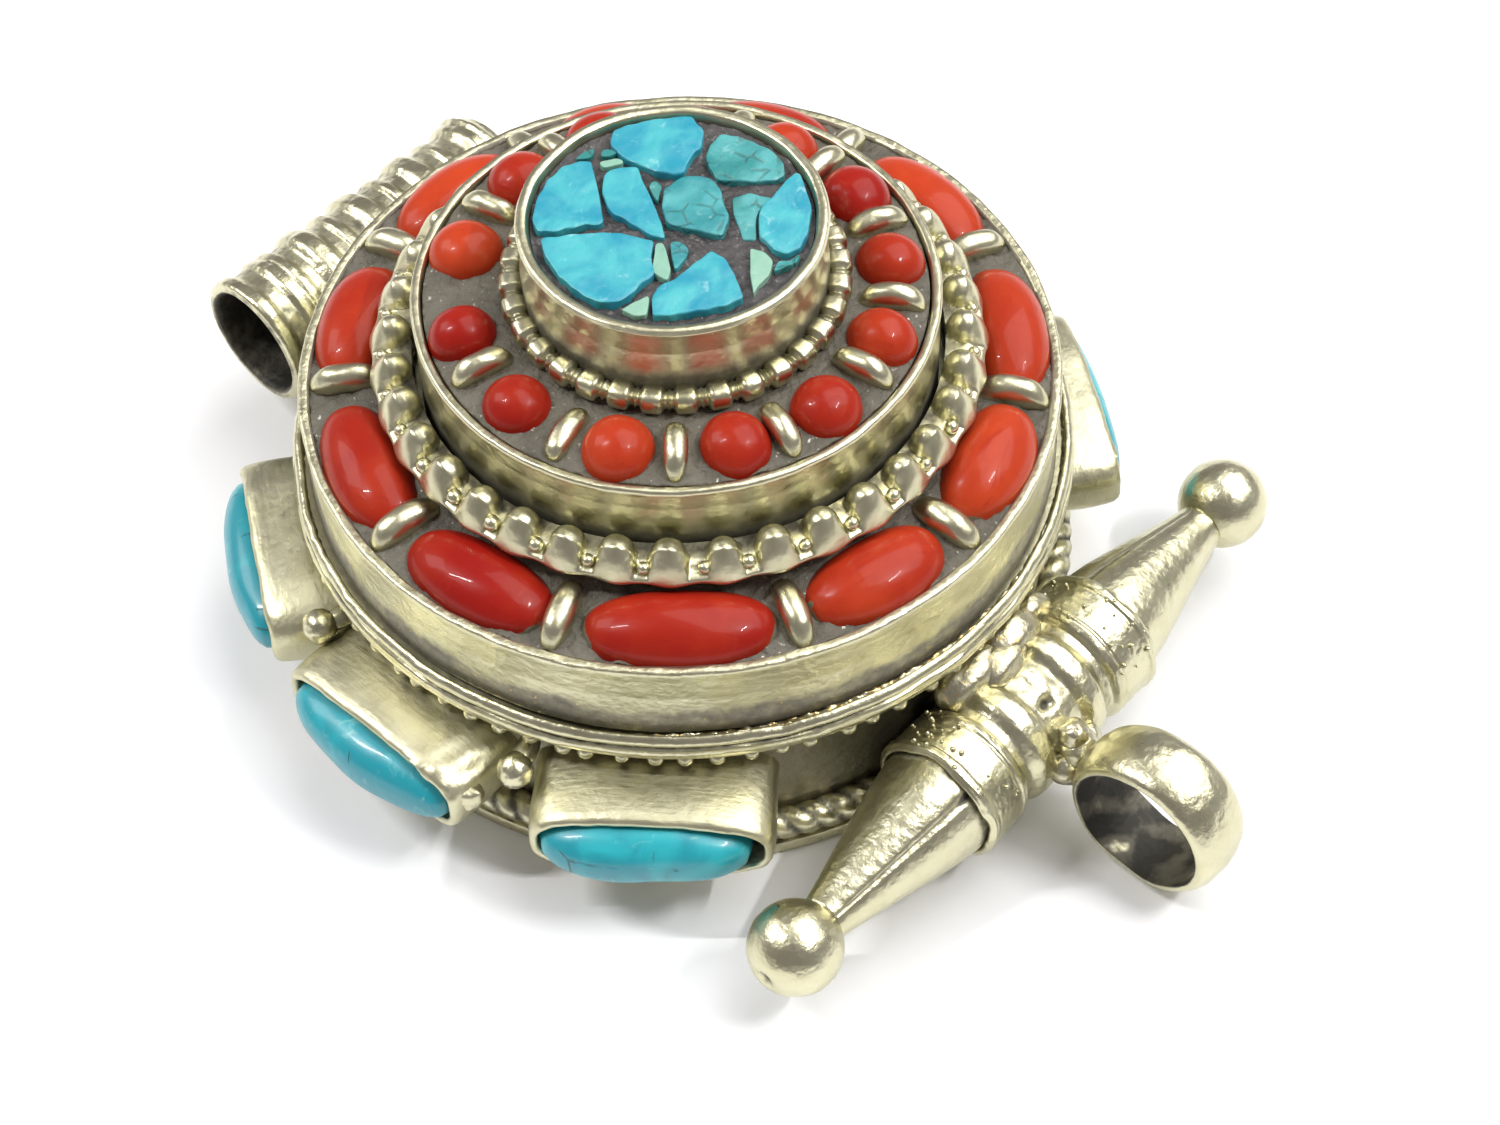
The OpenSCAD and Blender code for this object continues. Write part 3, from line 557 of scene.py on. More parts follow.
shade = np.where(solid, 0.12 + seam + 0.9 * pit + 0.3 * np.clip(-at[..., 1] / 4, 0, 1), 1.0)
piece("barrel_body", [shell(at + (0, barrel_y, barrel_z), loop=True, stain_and_painted_light=shade)], "case", silver,
      ["barrel", "barrel_rings"], 60)

grain_ball = ball(6, 9)
shells = []
for k in range(46):
    a, x0 = np.radians(rng.uniform(20, 150)), rng.choice([-1, 1]) * rng.uniform(4.3, 6.9)
    size = rng.uniform(0.06, 0.16)
    centre = (x0, barrel_y + 3.72 * np.cos(a), barrel_z + 3.72 * np.sin(a))
    shells.append(shell(grain_ball * size + centre, stain_and_painted_light=0.2))
piece("collar_grains", shells, "case", silver, ["granules"])

shells = []
lump = ball(22, 34)
for k, (x0, y0, z0, a0, b0, c0) in enumerate([(-1.4, 20.9, 7.7, 2.2, 1.5, 1.5), (1.6, 20.9, 7.6, 2.4, 1.4, 1.5),
                                             (0.1, 21.6, 8.0, 1.8, 1.2, 0.9), (-3.6, 20.6, 7.2, 1.6, 1.0, 1.2)]):
    at = lump * (a0, b0, c0) * (1 + 0.06 * uneven(lump + 7 * k, 1.1, 71) + 0.015 * uneven(lump + 7 * k, 0.4, 72))[..., None]
    shells.append(shell(at + (x0, y0, z0), stain_and_painted_light=0.25 + 0.5 * (lump[..., 2] < 0), tone=0.6))
piece("barrel_solder", shells, "case", crusty, ["barrel_saddle"], 70)

tip_x, tip_r = 18.2, 2.45
x = np.linspace(6.5, 16.1, 70)
taper = np.interp(x, [6.5, 7.4, 9.0, 12.5, 15.4, 16.1], [3.24, 3.22, 2.95, 2.12, 1.42, 1.30])
outline = np.vstack([[[6.5, 0]], [[6.5, 1.6]], np.stack([x, taper], -1), [[16.3, 0.9]], [[16.4, 0]]])
shells, tips = [], []
for s in (-1, 1):
    at = lengthwise(divided(outline, 0.35, False), 120)
    a = np.degrees(np.arctan2(at[..., 2], at[..., 1]))
    seam_at = 52 if s > 0 else 118
    lap = np.exp(-((a - seam_at) / 2.6) ** 2)
    step = 0.035 * np.clip((a - seam_at) / 30, 0, 1) * np.clip((seam_at + 60 - a) / 30, 0, 1)
    at[..., 1:] *= (1 - 0.05 * lap + step + 0.008 * uneven(at, 5.0, 81) + 0.002 * uneven(at, 0.9, 82))[..., None]
    grain = np.stack([at[..., 0], at[..., 1], at[..., 2]], -1)
    shade = 0.1 + 0.7 * lap + 0.6 * np.exp(-((at[..., 0] - 7.1) / 0.45) ** 2) + 0.35 * np.clip(-at[..., 2] / 3, 0, 1) + 0.1
    shells.append(shell(at * (s, 1, 1) + (0, barrel_y, barrel_z), stain_and_painted_light=shade, grain=grain))
    knob = ball(36, 56)[..., [2, 0, 1]] * tip_r
    knob[..., 0] -= 0.5 * np.exp(-(np.hypot(knob[..., 1], knob[..., 2]) / 0.34) ** 2) * (knob[..., 0] > 0)
    knob = knob * (1 + 0.006 * uneven(knob, 1.6, 83) - 0.012 * np.exp(-(knob[..., 0] / 0.10) ** 2))[..., None]
    hole = np.exp(-(np.hypot(knob[..., 1], knob[..., 2]) / 0.5) ** 2) * (knob[..., 0] > 0)
    tips.append(shell((knob + (tip_x, 0, 0)) * (s, 1, 1) + (0, barrel_y, barrel_z), stain_and_painted_light=0.1 + hole, tone=0.2))
piece("cone_pair", shells, "case", silver, ["finial_cones"], 60)
piece("cone_balls", tips, "case", silver, ["finial_balls"], 60)


# The hanging ring in front of the barrel: a wide band of heavy silver, rounded outside and thin at
# its edges, dark with oxide inside, and painted shade takes its bore near black. A lump of solder and a short foot hold
# it to the barrel.
ring_low, ring_high = low("hanging_ring"), high("hanging_ring")
ring_at = (ring_low + ring_high) / 2
ring_half, ring_bore = (ring_high[0] - ring_low[0]) / 2, 3.6
ring_out = (ring_high[1] - ring_low[1]) / 2
x = np.linspace(-1, 1, 36)
outer = np.stack([x * ring_half, ring_bore + 0.16 + (ring_out - ring_bore - 0.21) * (1 - x ** 2) ** 0.5], -1)
inner = np.stack([np.linspace(1, -1, 16) * (ring_half - 0.04), np.full(16, ring_bore + 0.02)], -1)
at = lengthwise(np.vstack([outer, inner]), 160)
inside = np.hypot(at[..., 1], at[..., 2]) < ring_bore + 0.1
at[..., 1:] *= (1 + 0.010 * uneven(at, 6, 91) + 0.004 * uneven(at, 1.2, 92))[..., None]
at[..., 0] += 0.05 * uneven(at, 3, 93)
# inside the bore: oxide in blotches, and painted shade that takes it near black
bore_oxide_and_shade = np.clip(1.25 + 0.5 * uneven(at, 2.4, 94), 0.7, 1.8)
piece("hanging_loop", [shell(at + ring_at, loop=True, stain_and_painted_light=np.where(inside, bore_oxide_and_shade, 0.12 + 0.2 * uneven(at, 4, 95)))],
      "case", silver, ["hanging_ring"], 50)

shells = []
for k, (x0, y0, z0, a0) in enumerate([(0.1, 26.9, 5.2, 1.15), (0.3, 27.4, 4.2, 1.1), (-0.9, 26.6, 4.6, 0.95),
                                      (1.0, 26.8, 4.4, 0.95), (0.2, 26.6, 6.3, 0.8)]):
    at = lump * a0 * (1 + 0.08 * uneven(lump + 5 * k, 1.1, 96) + 0.03 * uneven(lump + 5 * k, 0.4, 97))[..., None]
    shells.append(shell(at + (x0, y0, z0), stain_and_painted_light=0.2 + 0.4 * (lump[..., 2] < 0), tone=0.4))
piece("ring_solder", shells, "case", crusty, ["ring_foot"], 70)
for node in ("axle", "thrust_washer", "retainer", "wheel_floor", "hub_bush", "shelf", "middle_tray", "cup_floor"):
    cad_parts[node].data.materials[0] = brushed.material


# The turning wheel starts with a tall band of sheet silver, hollowed slightly by the hammer and
# burnished along its length, its foot still dark and flecked where solder ran.
floor_z, band_z = low("band")[2], high("band")[2]
band_r = high("band")[0]
edge = divided(np.array([(band_r - 0.6, floor_z), (band_r - 0.05, floor_z), (band_r + 0.0, floor_z + 0.25),
                         (band_r - 0.10, floor_z + 1.2), (band_r - 0.17, floor_z + 2.6), (band_r - 0.08, band_z - 0.9),
                         (band_r - 0.01, band_z - 0.4), (band_r, band_z - 0.14), (band_r - 0.10, band_z - 0.01),
                         (band_r - 0.30, band_z), (band_r - 0.50, band_z - 0.04), (band_r - 0.60, band_z - 0.2),
                         (band_r - 0.6, band_z - 2.0)]), 0.22)
at = turned(edge, 720)
high_up = np.clip((at[..., 2] - floor_z) / (band_z - floor_z), 0, 1)
radial = 0.035 * uneven(at * (1, 1, 0.2), 6, 101) + 0.012 * uneven(at, 1.6, 102) - 0.02
lip = np.clip((at[..., 2] - band_z + 0.5) / 0.5, 0, 1)
radial += lip * 0.04 * uneven(at, 2.2, 103)
at[..., :2] *= (1 + radial / band_r)[..., None]
at[..., 2] += lip * (0.045 * uneven(at, 5.5, 104) + 0.025 * uneven(at, 1.2, 105))
tide = 0.45 + 0.07 * uneven(at, 7, 106) + 0.05 * uneven(at, 2.1, 107)
shade = np.clip((tide - high_up) / 0.26 + 0.25, 0, 1) * 0.74 + 0.04
inside = np.hypot(at[..., 0], at[..., 1]) < band_r - 0.5
grain = np.stack([0 * at[..., 2], at[..., 2], np.hypot(at[..., 0], at[..., 1])], -1) + at * (0.25, 0.25, 0)
burnished = metal("silver_band", CLEAN, (0.20, 0.185, 0.145), 0.27, 0.56, brushed=0.8, pitted=0.4, even=0.66, flecks=0.03, patchy=0.55)
piece("band_wall", [shell(at, loop=True, stain_and_painted_light=np.where(inside, 0.9, shade), tone=np.clip(0.9 * shade, 0, 0.6) * (high_up < 0.5), grain=grain)],
      "wheel", burnished, ["band"], 60)


# Inside the wheel lies the prayer scroll, a long strip of paper rolled round a wooden core and tied
# with thread. It is hidden until the case is lifted off.
paper = Finish("scroll_paper", Roughness=0.85)
place = paper.place()
sheets = paper.node("ShaderNodeTexWave", {"wave_type": "RINGS", "rings_direction": "Z"}, {"Vector": place, "Scale": 620.0, "Distortion": 1.2})
fibre = paper.cloud(place, 1.3, 5.0)
paper.feed(Base_Color=paper.blend(sheets * 0.5 + fibre * 0.4, (0.40, 0.30, 0.17, 1), (0.74, 0.64, 0.44, 1)), Normal=paper.bumps(sheets, 0.05))
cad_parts["scroll"].data.materials[0] = paper.material
wood = Finish("core_wood", Roughness=0.6)
rings = wood.cloud(wood.stretch(wood.place(), (1, 1, 0.1)), 0.8, 4.0)
wood.feed(Base_Color=wood.blend(rings, (0.20, 0.10, 0.04, 1), (0.46, 0.27, 0.12, 1)), Normal=wood.bumps(rings, 0.04))
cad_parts["scroll_core"].data.materials[0] = wood.material
thread = Finish("tie_thread", Roughness=0.8)
lay = thread.cloud(thread.stretch(thread.place(), (1, 1, 3)), 0.35, 2.0)
thread.feed(Base_Color=thread.blend(lay, (0.18, 0.01, 0.01, 1), (0.42, 0.04, 0.03, 1)), Normal=thread.bumps(lay, 0.06))
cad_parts["scroll_tie"].data.materials[0] = thread.material


# The outer ring of stones: eleven long coral cabochons bedded in grey cement on a shelf, with a
# bowed half-round silver wire standing between each two.
def mound(length, width, height, power=2.1, rows=16, around=56, round_off=0.5):
    """A cabochon standing on z = 0: the oval shrinks to its middle as it rises by height (1 - s^2)^round_off."""
    s = np.concatenate([[0, 0.9, 1.0], np.linspace(0.995, 0, rows) ** 0.9])
    rise = np.concatenate([[-0.45, -0.45, -0.40], (1 - np.minimum(s[3:], 1) ** 2) ** round_off])
    flat = oval(around, power)[None] * s[:, None, None] * (length / 2, width / 2)
    return np.concatenate([flat, np.broadcast_to((rise * height)[:, None, None], flat.shape[:2] + (1,))], -1)


def round_axis(lie, radius, way, z):
    """Local (x outwards, y along the ring, z up) points set at that radius and angle in degrees."""
    c, s = np.cos(np.radians(way)), np.sin(np.radians(way))
    x, y = lie[..., 0] + radius, lie[..., 1]
    return np.stack([x * c - y * s, x * s + y * c, lie[..., 2] + z], -1)


cement = Finish("setting_cement", Roughness=0.72)
place = cement.place()
grit = cement.cloud(place, 0.5, 6.0)
paste = cement.blend(cement.cloud(place, 2.4, 4.0, 0.6), (0.051, 0.045, 0.033, 1), (0.187, 0.171, 0.130, 1))
shine = cement.steps(cement.cloud(place, 0.32, 2.0), 0.66, 0.76)
cement.feed(Base_Color=cement.blend(shine, paste, (0.46, 0.45, 0.38, 1)), Metallic=shine * 0.7 + 0.12, Roughness=0.62 - shine * 0.25,
            Normal=cement.bumps(grit, 0.26))

coral = Finish("coral_polished", Roughness=0.34, Specular_IOR_Level=0.12, Coat_Roughness=0.03, Subsurface_Weight=0.05,
               Subsurface_Radius=(0.0012, 0.0003, 0.0002), Subsurface_Scale=1.0, Coat_IOR=1.5)
place, tone, rise = coral.place(), coral.kept("tone"), coral.kept("stain_and_painted_light")
flesh = coral.blend(coral.steps(tone + (coral.cloud(place, 3.4, 3.0, 0.6) - 0.5) * 0.9, -0.35, 0.9),
                    (0.27, 0.008, 0.005, 1), (0.47, 0.050, 0.013, 1))
streak = coral.steps(coral.cloud(coral.stretch(coral.kept("grain", "Vector"), (0.25, 1.0, 1.0)), 0.9, 5.0, 1.5), 0.56, 0.80)
flesh = coral.blend(streak * 0.45, flesh, (0.26, 0.008, 0.006, 1))
# paler orange: random patches in the coral, and a painted sheen towards the foot and ends of each stone
patches_and_painted_sheen = coral.steps(coral.cloud(place, 1.5, 5.0, 1.0), 0.58, 0.80) * 0.12 + coral.steps(rise, 0.55, 1.0) * 0.15
smear = coral.steps(rise + (coral.cloud(place, 1.0, 4.0) - 0.5) * 1.3, 0.84, 0.92)
stone = coral.blend(patches_and_painted_sheen, flesh, (0.60, 0.14, 0.07, 1))
coral.feed(Base_Color=coral.blend(smear, stone, (0.17, 0.155, 0.115, 1)), Coat_Weight=0.16 - smear * 0.16,
           Normal=coral.bumps(coral.cloud(place, 1.6, 3.0) * 0.8 + streak * 0.25, 0.05))

outer_z = low("outer_corals")[2]
outer_r = (15.15 + band_r - 0.6) / 2
coral_way = np.array([41.4, 75.6, 106.7, 136.9, 171.1, 206.1, 235.1, 266.3, 301.2, 334.2, 6.2])
wire_way = np.array([22.1, 59.8, 91.2, 122.2, 156.8, 189.9, 222.3, 250.1, 282.5, 314.6, 348.6])
inner_neck = 15.0
edge = divided(np.array([(inner_neck, outer_z - 0.3), (band_r - 0.62, outer_z - 0.3), (band_r - 0.62, outer_z + 0.25),
                         (outer_r + 1.0, outer_z + 0.42), (outer_r, outer_z + 0.5), (inner_neck, outer_z + 1.0)]), 0.2)
at = turned(edge, 720)
up = at[..., 2] > outer_z
at[..., 2] += up * (0.13 * uneven(at, 2.0, 111) + 0.10 * uneven(at, 0.8, 112) + 0.05 * uneven(at, 0.35, 113))
piece("outer_cement", [shell(at, loop=True)], "wheel", cement, ["outer_bed"], 80)

rng = np.random.default_rng(7)
shells = []
gap = np.array([(wire_way[(k + 1) % 11] - wire_way[k]) % 360 for k in range(11)])
for k, way in enumerate(coral_way):
    long = min(np.radians(gap[k]) * outer_r - 1.45, 9.8)
    wide = 4.42 + 0.06 * rng.normal()
    lie = mound(wide, long, 2.1 + 0.08 * rng.normal(), 2.25, 18, 80, 0.46)
    lie[..., 0] += -0.35 * (lie[..., 1] / (long / 2)) ** 2 * 0.6 + 0.05 * uneven(lie + k * 20, 5, 114)
    lie[..., 2] += 0.06 * uneven(lie + k * 20, 4, 115) * (lie[..., 2] > 0)
    # low_down marks the foot and ends of each stone, for the cement smear and the painted sheen there; pale is each
    # stone's own tone, set paler on the far side of the ring as painted sheen
    low_down = (1 - np.clip(lie[..., 2] / 0.9, 0, 1)) * 0.62 + 0.9 * np.clip(np.abs(lie[..., 1]) / (long / 2) - 0.7, 0, 0.3) / 0.3
    pale = [0.0, 0.25, 0.55, 0.45, 0.5, 0.2, 0.5, 0.55, 0.25, 0.1, -0.15][k]
    grain = np.stack([lie[..., 1], lie[..., 0], lie[..., 2]], -1) + 13 * k
    shells.append(shell(round_axis(lie, outer_r, way + rng.normal() * 0.2, outer_z), stain_and_painted_light=low_down, tone=pale, grain=grain))
piece("outer_coral_set", shells, "wheel", coral, ["outer_corals"], 70)

def bowed_wire(length, width, height, rows=26, around=20):
    """A bowed wire along x: half width (1 - u^4)^0.5, its top up by (1 - u^2)^0.6, its sides run down into the bed."""
    u = np.sin(np.linspace(-np.pi / 2, np.pi / 2, rows))[:, None]
    t = np.linspace(0, 2 * np.pi, around, endpoint=False)[None, :]
    full = np.maximum(1 - u ** 4, 0) ** 0.5
    spine = (height - width / 2) * np.maximum(1 - u ** 2, 0) ** 0.6
    reach = np.where(np.sin(t) > 0, width / 2 * full, (spine + 0.4) * full)
    return np.stack([u * length / 2 + 0 * t, width / 2 * full * np.cos(t), spine + reach * np.sin(t)], -1)


shells = []
for k, way in enumerate(wire_way):
    lie = bowed_wire(4.25, 1.45 + 0.06 * rng.normal(), 1.80 + 0.08 * rng.normal())
    lie[..., 2] += (lie[..., 2] > 0) * (0.05 * uneven(lie + 9 * k, 1.6, 116))
    lie[..., 1] += 0.12 * (k % 3 - 1) * (lie[..., 0] / 2.1) ** 2
    at = round_axis(lie, outer_r, way, outer_z)
    shells.append(shell(at, stain_and_painted_light=np.clip(0.8 - lie[..., 2] / 0.7, 0, 1)))
piece("outer_wires", shells, "wheel", bright, ["outer_leaves"], 70)


# A stamped gallery strip stands between the corals and the middle wall: a row of thumb-shaped
# humps that run down to a smooth lip, with a small ball in each gap.
hump_count = 36
wall_r = high("middle_wall")[0]
strip_z = band_z + 2.15
around = hump_count * 28
a = np.linspace(0, 2 * np.pi, around, endpoint=False)[None, :]
step = 2 * np.pi / hump_count
rng = np.random.default_rng(17)
turn = a / step
index = np.round(turn).astype(int) % hump_count
nudge = (rng.normal(size=hump_count) * 0.03)[index]
side_way = (turn - np.round(turn) - nudge) * step
lip_r = 15.92 + 0.10 * np.cos(hump_count * a) + 0.06 * uneven(np.stack([np.cos(a), np.sin(a), 0 * a], -1) * 16, 5, 121)
share = np.linspace(0, 1, 30)[:, None]
r = wall_r + 0.30 + share * (lip_r - wall_r - 0.30)
size = 0.98 + (rng.normal(size=hump_count) * 0.03)[index]
back = np.minimum(r - wall_r - 1.28, 0)
squared = np.maximum(size ** 2 - (side_way * r) ** 2 - back ** 2, 0)
fade = np.clip((lip_r - 0.05 - r) / 0.85, 0, 1) ** 0.5
ribbon = strip_z + 0.18 - 0.42 * np.clip((r - 15.0) / 0.9, 0, 1) ** 1.6
dip = 0.16 * np.exp(-((r - 15.3) / 0.3) ** 2) * (1 - np.cos(hump_count * a)) / 2
top = ribbon - dip + 1.22 * np.sqrt(squared) * fade
under = np.array([[0.03, -0.16], [-0.10, -0.34], [-0.45, -0.50], [-0.80, -0.85], [-0.86, -1.9], [-2.05, -1.9], [-2.1, -0.5]])
r_under = lip_r + under[:, :1]
z_under = strip_z - 0.24 + under[:, 1:] + 0 * a
r_all, z_all = np.vstack([r, r_under]), np.vstack([top, z_under])
at = np.stack([r_all * np.cos(a), r_all * np.sin(a), z_all], -1)
at[..., 2] += 0.05 * uneven(at, 5, 122) + 0.02 * uneven(at, 1.3, 123)
hollow = np.vstack([np.clip(1.1 - np.sqrt(squared) * 1.7, 0, 1.1) * np.clip(1.3 - share * 1.25, 0, 1), np.full((7, around), 0.9)])
shells = [shell(at, loop=True, stain_and_painted_light=hollow)]
seed = ball(9, 14)
for k in range(hump_count):
    way = (k + 0.5 + 0.05 * rng.normal()) * 360 / hump_count
    size = 0.36 + 0.03 * rng.normal()
    shells.append(shell(round_axis(seed * (size, size, size * 0.95), 15.30, way, strip_z + 0.12), stain_and_painted_light=0.15))
piece("gallery_strip", shells, "wheel", bright, ["scallop_ring"], 75)


# The middle wall: a second ring of sheet silver, taller, with the flats of the burnisher still
# showing on its face and a thin lip filed bright.
mid_z, mid_foot = high("middle_wall")[2], low("middle_wall")[2]
edge = divided(np.array([(wall_r - 0.6, mid_foot), (wall_r, mid_foot), (wall_r - 0.03, mid_z - 2.6), (wall_r - 0.09, mid_z - 1.4),
                         (wall_r - 0.02, mid_z - 0.45), (wall_r + 0.02, mid_z - 0.18), (wall_r - 0.07, mid_z - 0.02),
                         (wall_r - 0.22, mid_z), (wall_r - 0.42, mid_z - 0.04), (wall_r - 0.5, mid_z - 0.2), (wall_r - 0.56, mid_z - 1.2)]), 0.2)
at = turned(edge, 540)
upright = at * (1, 1, 0)
flats = uneven(upright, 2.6, 131) + 0.5 * uneven(upright, 1.1, 135)
lip = np.clip((at[..., 2] - mid_z + 0.5) / 0.5, 0, 1)
at[..., :2] *= (1 + (0.035 * flats * (1 - lip) + 0.03 * lip * uneven(at, 3, 132)) / wall_r)[..., None]
at[..., 2] += lip * (0.05 * uneven(at, 6, 133) + 0.02 * uneven(at, 1.3, 134))
deep = np.clip((mid_z - 2.2 - at[..., 2]) / 2.0, 0, 1)
inside = np.hypot(at[..., 0], at[..., 1]) < wall_r - 0.45
shade = np.where(inside, 0.9, 0.30 + 0.75 * deep) * (1 - 0.9 * lip)
piece("middle_ring_wall", [shell(at, loop=True, stain_and_painted_light=shade)], "wheel", burnt, ["middle_wall"], 60)


# The middle ring of stones: thirteen round corals in cement on a tray, again with bowed wires
# between them; one wire has fallen out and one has sunk.
mid_at = (low("middle_corals")[2])
inner_r = 11.0
bead_way = np.array([26.7, 56.7, 82.8, 110.3, 137.9, 163.7, 190.0, 216.0, 242.0, 268.0, 297.6, 327.5, 356.0])
slip_way = np.array([41.5, 68.9, 98.0, 124.0, 151.8, 177.6, 204.0, 229.0, 254.8, 282.2, 340.8, 12.2])
edge = divided(np.array([(8.0, mid_at - 0.9), (wall_r - 0.62, mid_at - 0.9), (wall_r - 0.62, mid_at + 0.05),
                         (inner_r + 0.9, mid_at + 0.28), (inner_r, mid_at + 0.30), (9.0, mid_at + 0.45), (8.0, mid_at + 0.5)]), 0.2)
at = turned(edge, 540)
up = at[..., 2] > mid_at
at[..., 2] += up * (0.10 * uneven(at, 2.2, 141) + 0.07 * uneven(at, 0.8, 142) + 0.04 * uneven(at, 0.35, 143))
piece("middle_cement", [shell(at, loop=True)], "wheel", cement, ["middle_bed"], 80)

shells = []
for k, way in enumerate(bead_way):
    across = 3.68 + 0.12 * rng.normal()
    lie = mound(across, across * (1.02 + 0.05 * rng.normal()), 1.72 + 0.10 * rng.normal(), 2.05, 18, 56, 0.5)
    lie[..., :2] += (0.04 * uneven(lie + 11 * k, 3, 144))[..., None]
    pale = [0.45, 0.0, 0.1, 0.35, 0.2, -0.1, 0.3, 0.0, 0.2, 0.1, 0.55, -0.1, 0.0][k]
    at = round_axis(lie, inner_r + 0.06 * rng.normal(), way, mid_at)
    # the lower part of each stone carries the cement smear and a painted sheen
    shells.append(shell(at, stain_and_painted_light=0.75 - 0.75 * np.clip(lie[..., 2] / 0.7, 0, 1), tone=pale, grain=lie + 17 * k))
piece("middle_coral_set", shells, "wheel", coral, ["middle_corals"], 70)

shells = []
for k, way in enumerate(slip_way):
    sunk = 0.45 if way < 20 else 0.0
    lie = bowed_wire(3.5, 1.28 + 0.05 * rng.normal(), 1.55 + 0.07 * rng.normal() - sunk)
    lie[..., 2] += (lie[..., 2] > 0) * 0.05 * uneven(lie + 9 * k, 1.6, 145)
    lie[..., 1] += 0.10 * (k % 3 - 1) * (lie[..., 0] / 1.8) ** 2
    shells.append(shell(round_axis(lie, inner_r, way, mid_at), stain_and_painted_light=np.clip(0.8 - lie[..., 2] / 0.6, 0, 1)))
piece("middle_wires", shells, "wheel", bright, ["middle_leaves"], 70)


# The cup: a deep collar of silver with a thick bright lip, standing in a ring of square-shouldered
# beads cut from one wire, with a double cut between each two.
cup_r, cup_z, cup_foot = high("cup")[0], high("cup")[2], low("cup")[2]
edge = divided(np.array([(cup_r - 0.7, cup_foot), (cup_r, cup_foot), (cup_r - 0.02, cup_z - 3.2), (cup_r - 0.16, cup_z - 1.8),
                         (cup_r - 0.06, cup_z - 0.6), (cup_r + 0.02, cup_z - 0.25), (cup_r - 0.08, cup_z - 0.04),
                         (cup_r - 0.28, cup_z + 0.0), (cup_r - 0.52, cup_z - 0.06), (cup_r - 0.64, cup_z - 0.25), (cup_r - 0.7, cup_z - 1.2)]), 0.18)
at = turned(edge, 420)
flats = uneven(np.stack([at[..., 0], at[..., 1], 0 * at[..., 2]], -1), 2.0, 151)
lip = np.clip((at[..., 2] - cup_z + 0.5) / 0.5, 0, 1)
at[..., :2] *= (1 + (0.045 * flats * (1 - lip) + 0.03 * lip * uneven(at, 2.5, 152)) / cup_r)[..., None]
at[..., 2] += lip * (0.035 * uneven(at, 4, 153) - 0.045)
deep = np.clip((cup_z - 1.9 - at[..., 2]) / 1.6, 0, 1)
inside = np.hypot(at[..., 0], at[..., 1]) < cup_r - 0.6
piece("cup_wall", [shell(at, loop=True, stain_and_painted_light=np.where(inside, 0.9, 0.22 + 0.7 * deep) * (1 - 0.9 * lip))],
      "wheel", burnt, ["cup"], 60)

bead_low, bead_high = low("cup_beads"), high("cup_beads")
count = 32
a = np.linspace(0, 2 * np.pi, count * 22, endpoint=False)[None, :]
turn = np.linspace(0, 2 * np.pi, 20, endpoint=False)[:, None]
u = (a * count / (2 * np.pi) + 0.5) % 1 - 0.5
block = 1 / (1 + np.exp((np.abs(u) - 0.33) * 34))
rib = np.exp(-((np.abs(u) - 0.5) / 0.05) ** 2)
r = 0.36 + 0.32 * block + 0.14 * rib
bend = lambda v, p: np.sign(v) * np.abs(v) ** p
ring_at = cup_r + 0.50
ring_z = (bead_low[2] + bead_high[2]) / 2 - 0.02
at = np.stack([(ring_at + r * bend(np.cos(turn), 0.75)) * np.cos(a), (ring_at + r * bend(np.cos(turn), 0.75)) * np.sin(a),
               ring_z + r * bend(np.sin(turn), 0.75)], -1)
at += (0.025 * uneven(at, 1.2, 154))[..., None] * (1, 1, 1)
piece("cup_bead_wire", [shell(at, loop=True, stain_and_painted_light=0.85 - 0.75 * block - 0.2 * rib + 0 * turn)], "wheel", bright, ["cup_beads"], 60)


# The inlay in the cup: chips of turquoise from sky blue to pale green, ground flat and pressed into
# black resin mixed with fine stone dust.
resin = Finish("black_resin", Roughness=0.5)
place = resin.place()
dust = resin.steps(resin.cloud(place, 0.28, 3.0), 0.60, 0.74)
ash = resin.blend(resin.cloud(place, 1.6, 4.0), (0.020, 0.018, 0.020, 1), (0.080, 0.070, 0.068, 1))
resin.feed(Base_Color=resin.blend(dust * 0.6, ash, (0.30, 0.29, 0.26, 1)), Normal=resin.bumps(resin.cloud(place, 0.4, 5.0), 0.14))

chips = Finish("turquoise_chips", Roughness=0.45, Coat_Weight=0.2, Coat_Roughness=0.25, IOR=1.5)
place, tone = chips.place(), chips.kept("tone")
wash = chips.cloud(place, 2.6, 4.0, 0.8)
blue = chips.blend(chips.steps(wash, 0.35, 0.70), (0.014, 0.26, 0.36, 1), (0.060, 0.40, 0.43, 1))
green = chips.blend(chips.steps(wash, 0.35, 0.70), (0.020, 0.20, 0.19, 1), (0.080, 0.35, 0.35, 1))
pale = chips.blend(wash, (0.15, 0.36, 0.26, 1), (0.32, 0.50, 0.38, 1))
colour = chips.blend(chips.steps(tone, 0.2, 0.5), blue, green)
colour = chips.blend(chips.steps(tone, 0.7, 1.0), colour, pale)
web = chips.node("ShaderNodeTexVoronoi", {"feature": "DISTANCE_TO_EDGE"}, {"Vector": place, "Scale": 1000 / 1.15}, output="Distance")
web = (1 - chips.steps(web, 0.01, 0.09)) * chips.steps(chips.cloud(place, 1.2, 3.0), 0.44, 0.60) * chips.steps(tone, 0.15, 0.5) * (1 - chips.steps(tone, 0.7, 1.0))
colour = chips.blend(web * 0.5, colour, (0.03, 0.06, 0.05, 1))
chalk = chips.steps(chips.cloud(place, 0.7, 5.0, 1.0), 0.60, 0.78)
chips.feed(Base_Color=chips.blend(chalk * 0.30, colour, (0.50, 0.78, 0.72, 1)), Normal=chips.bumps(chips.cloud(place, 0.9, 5.0) - web * 0.5, 0.12))

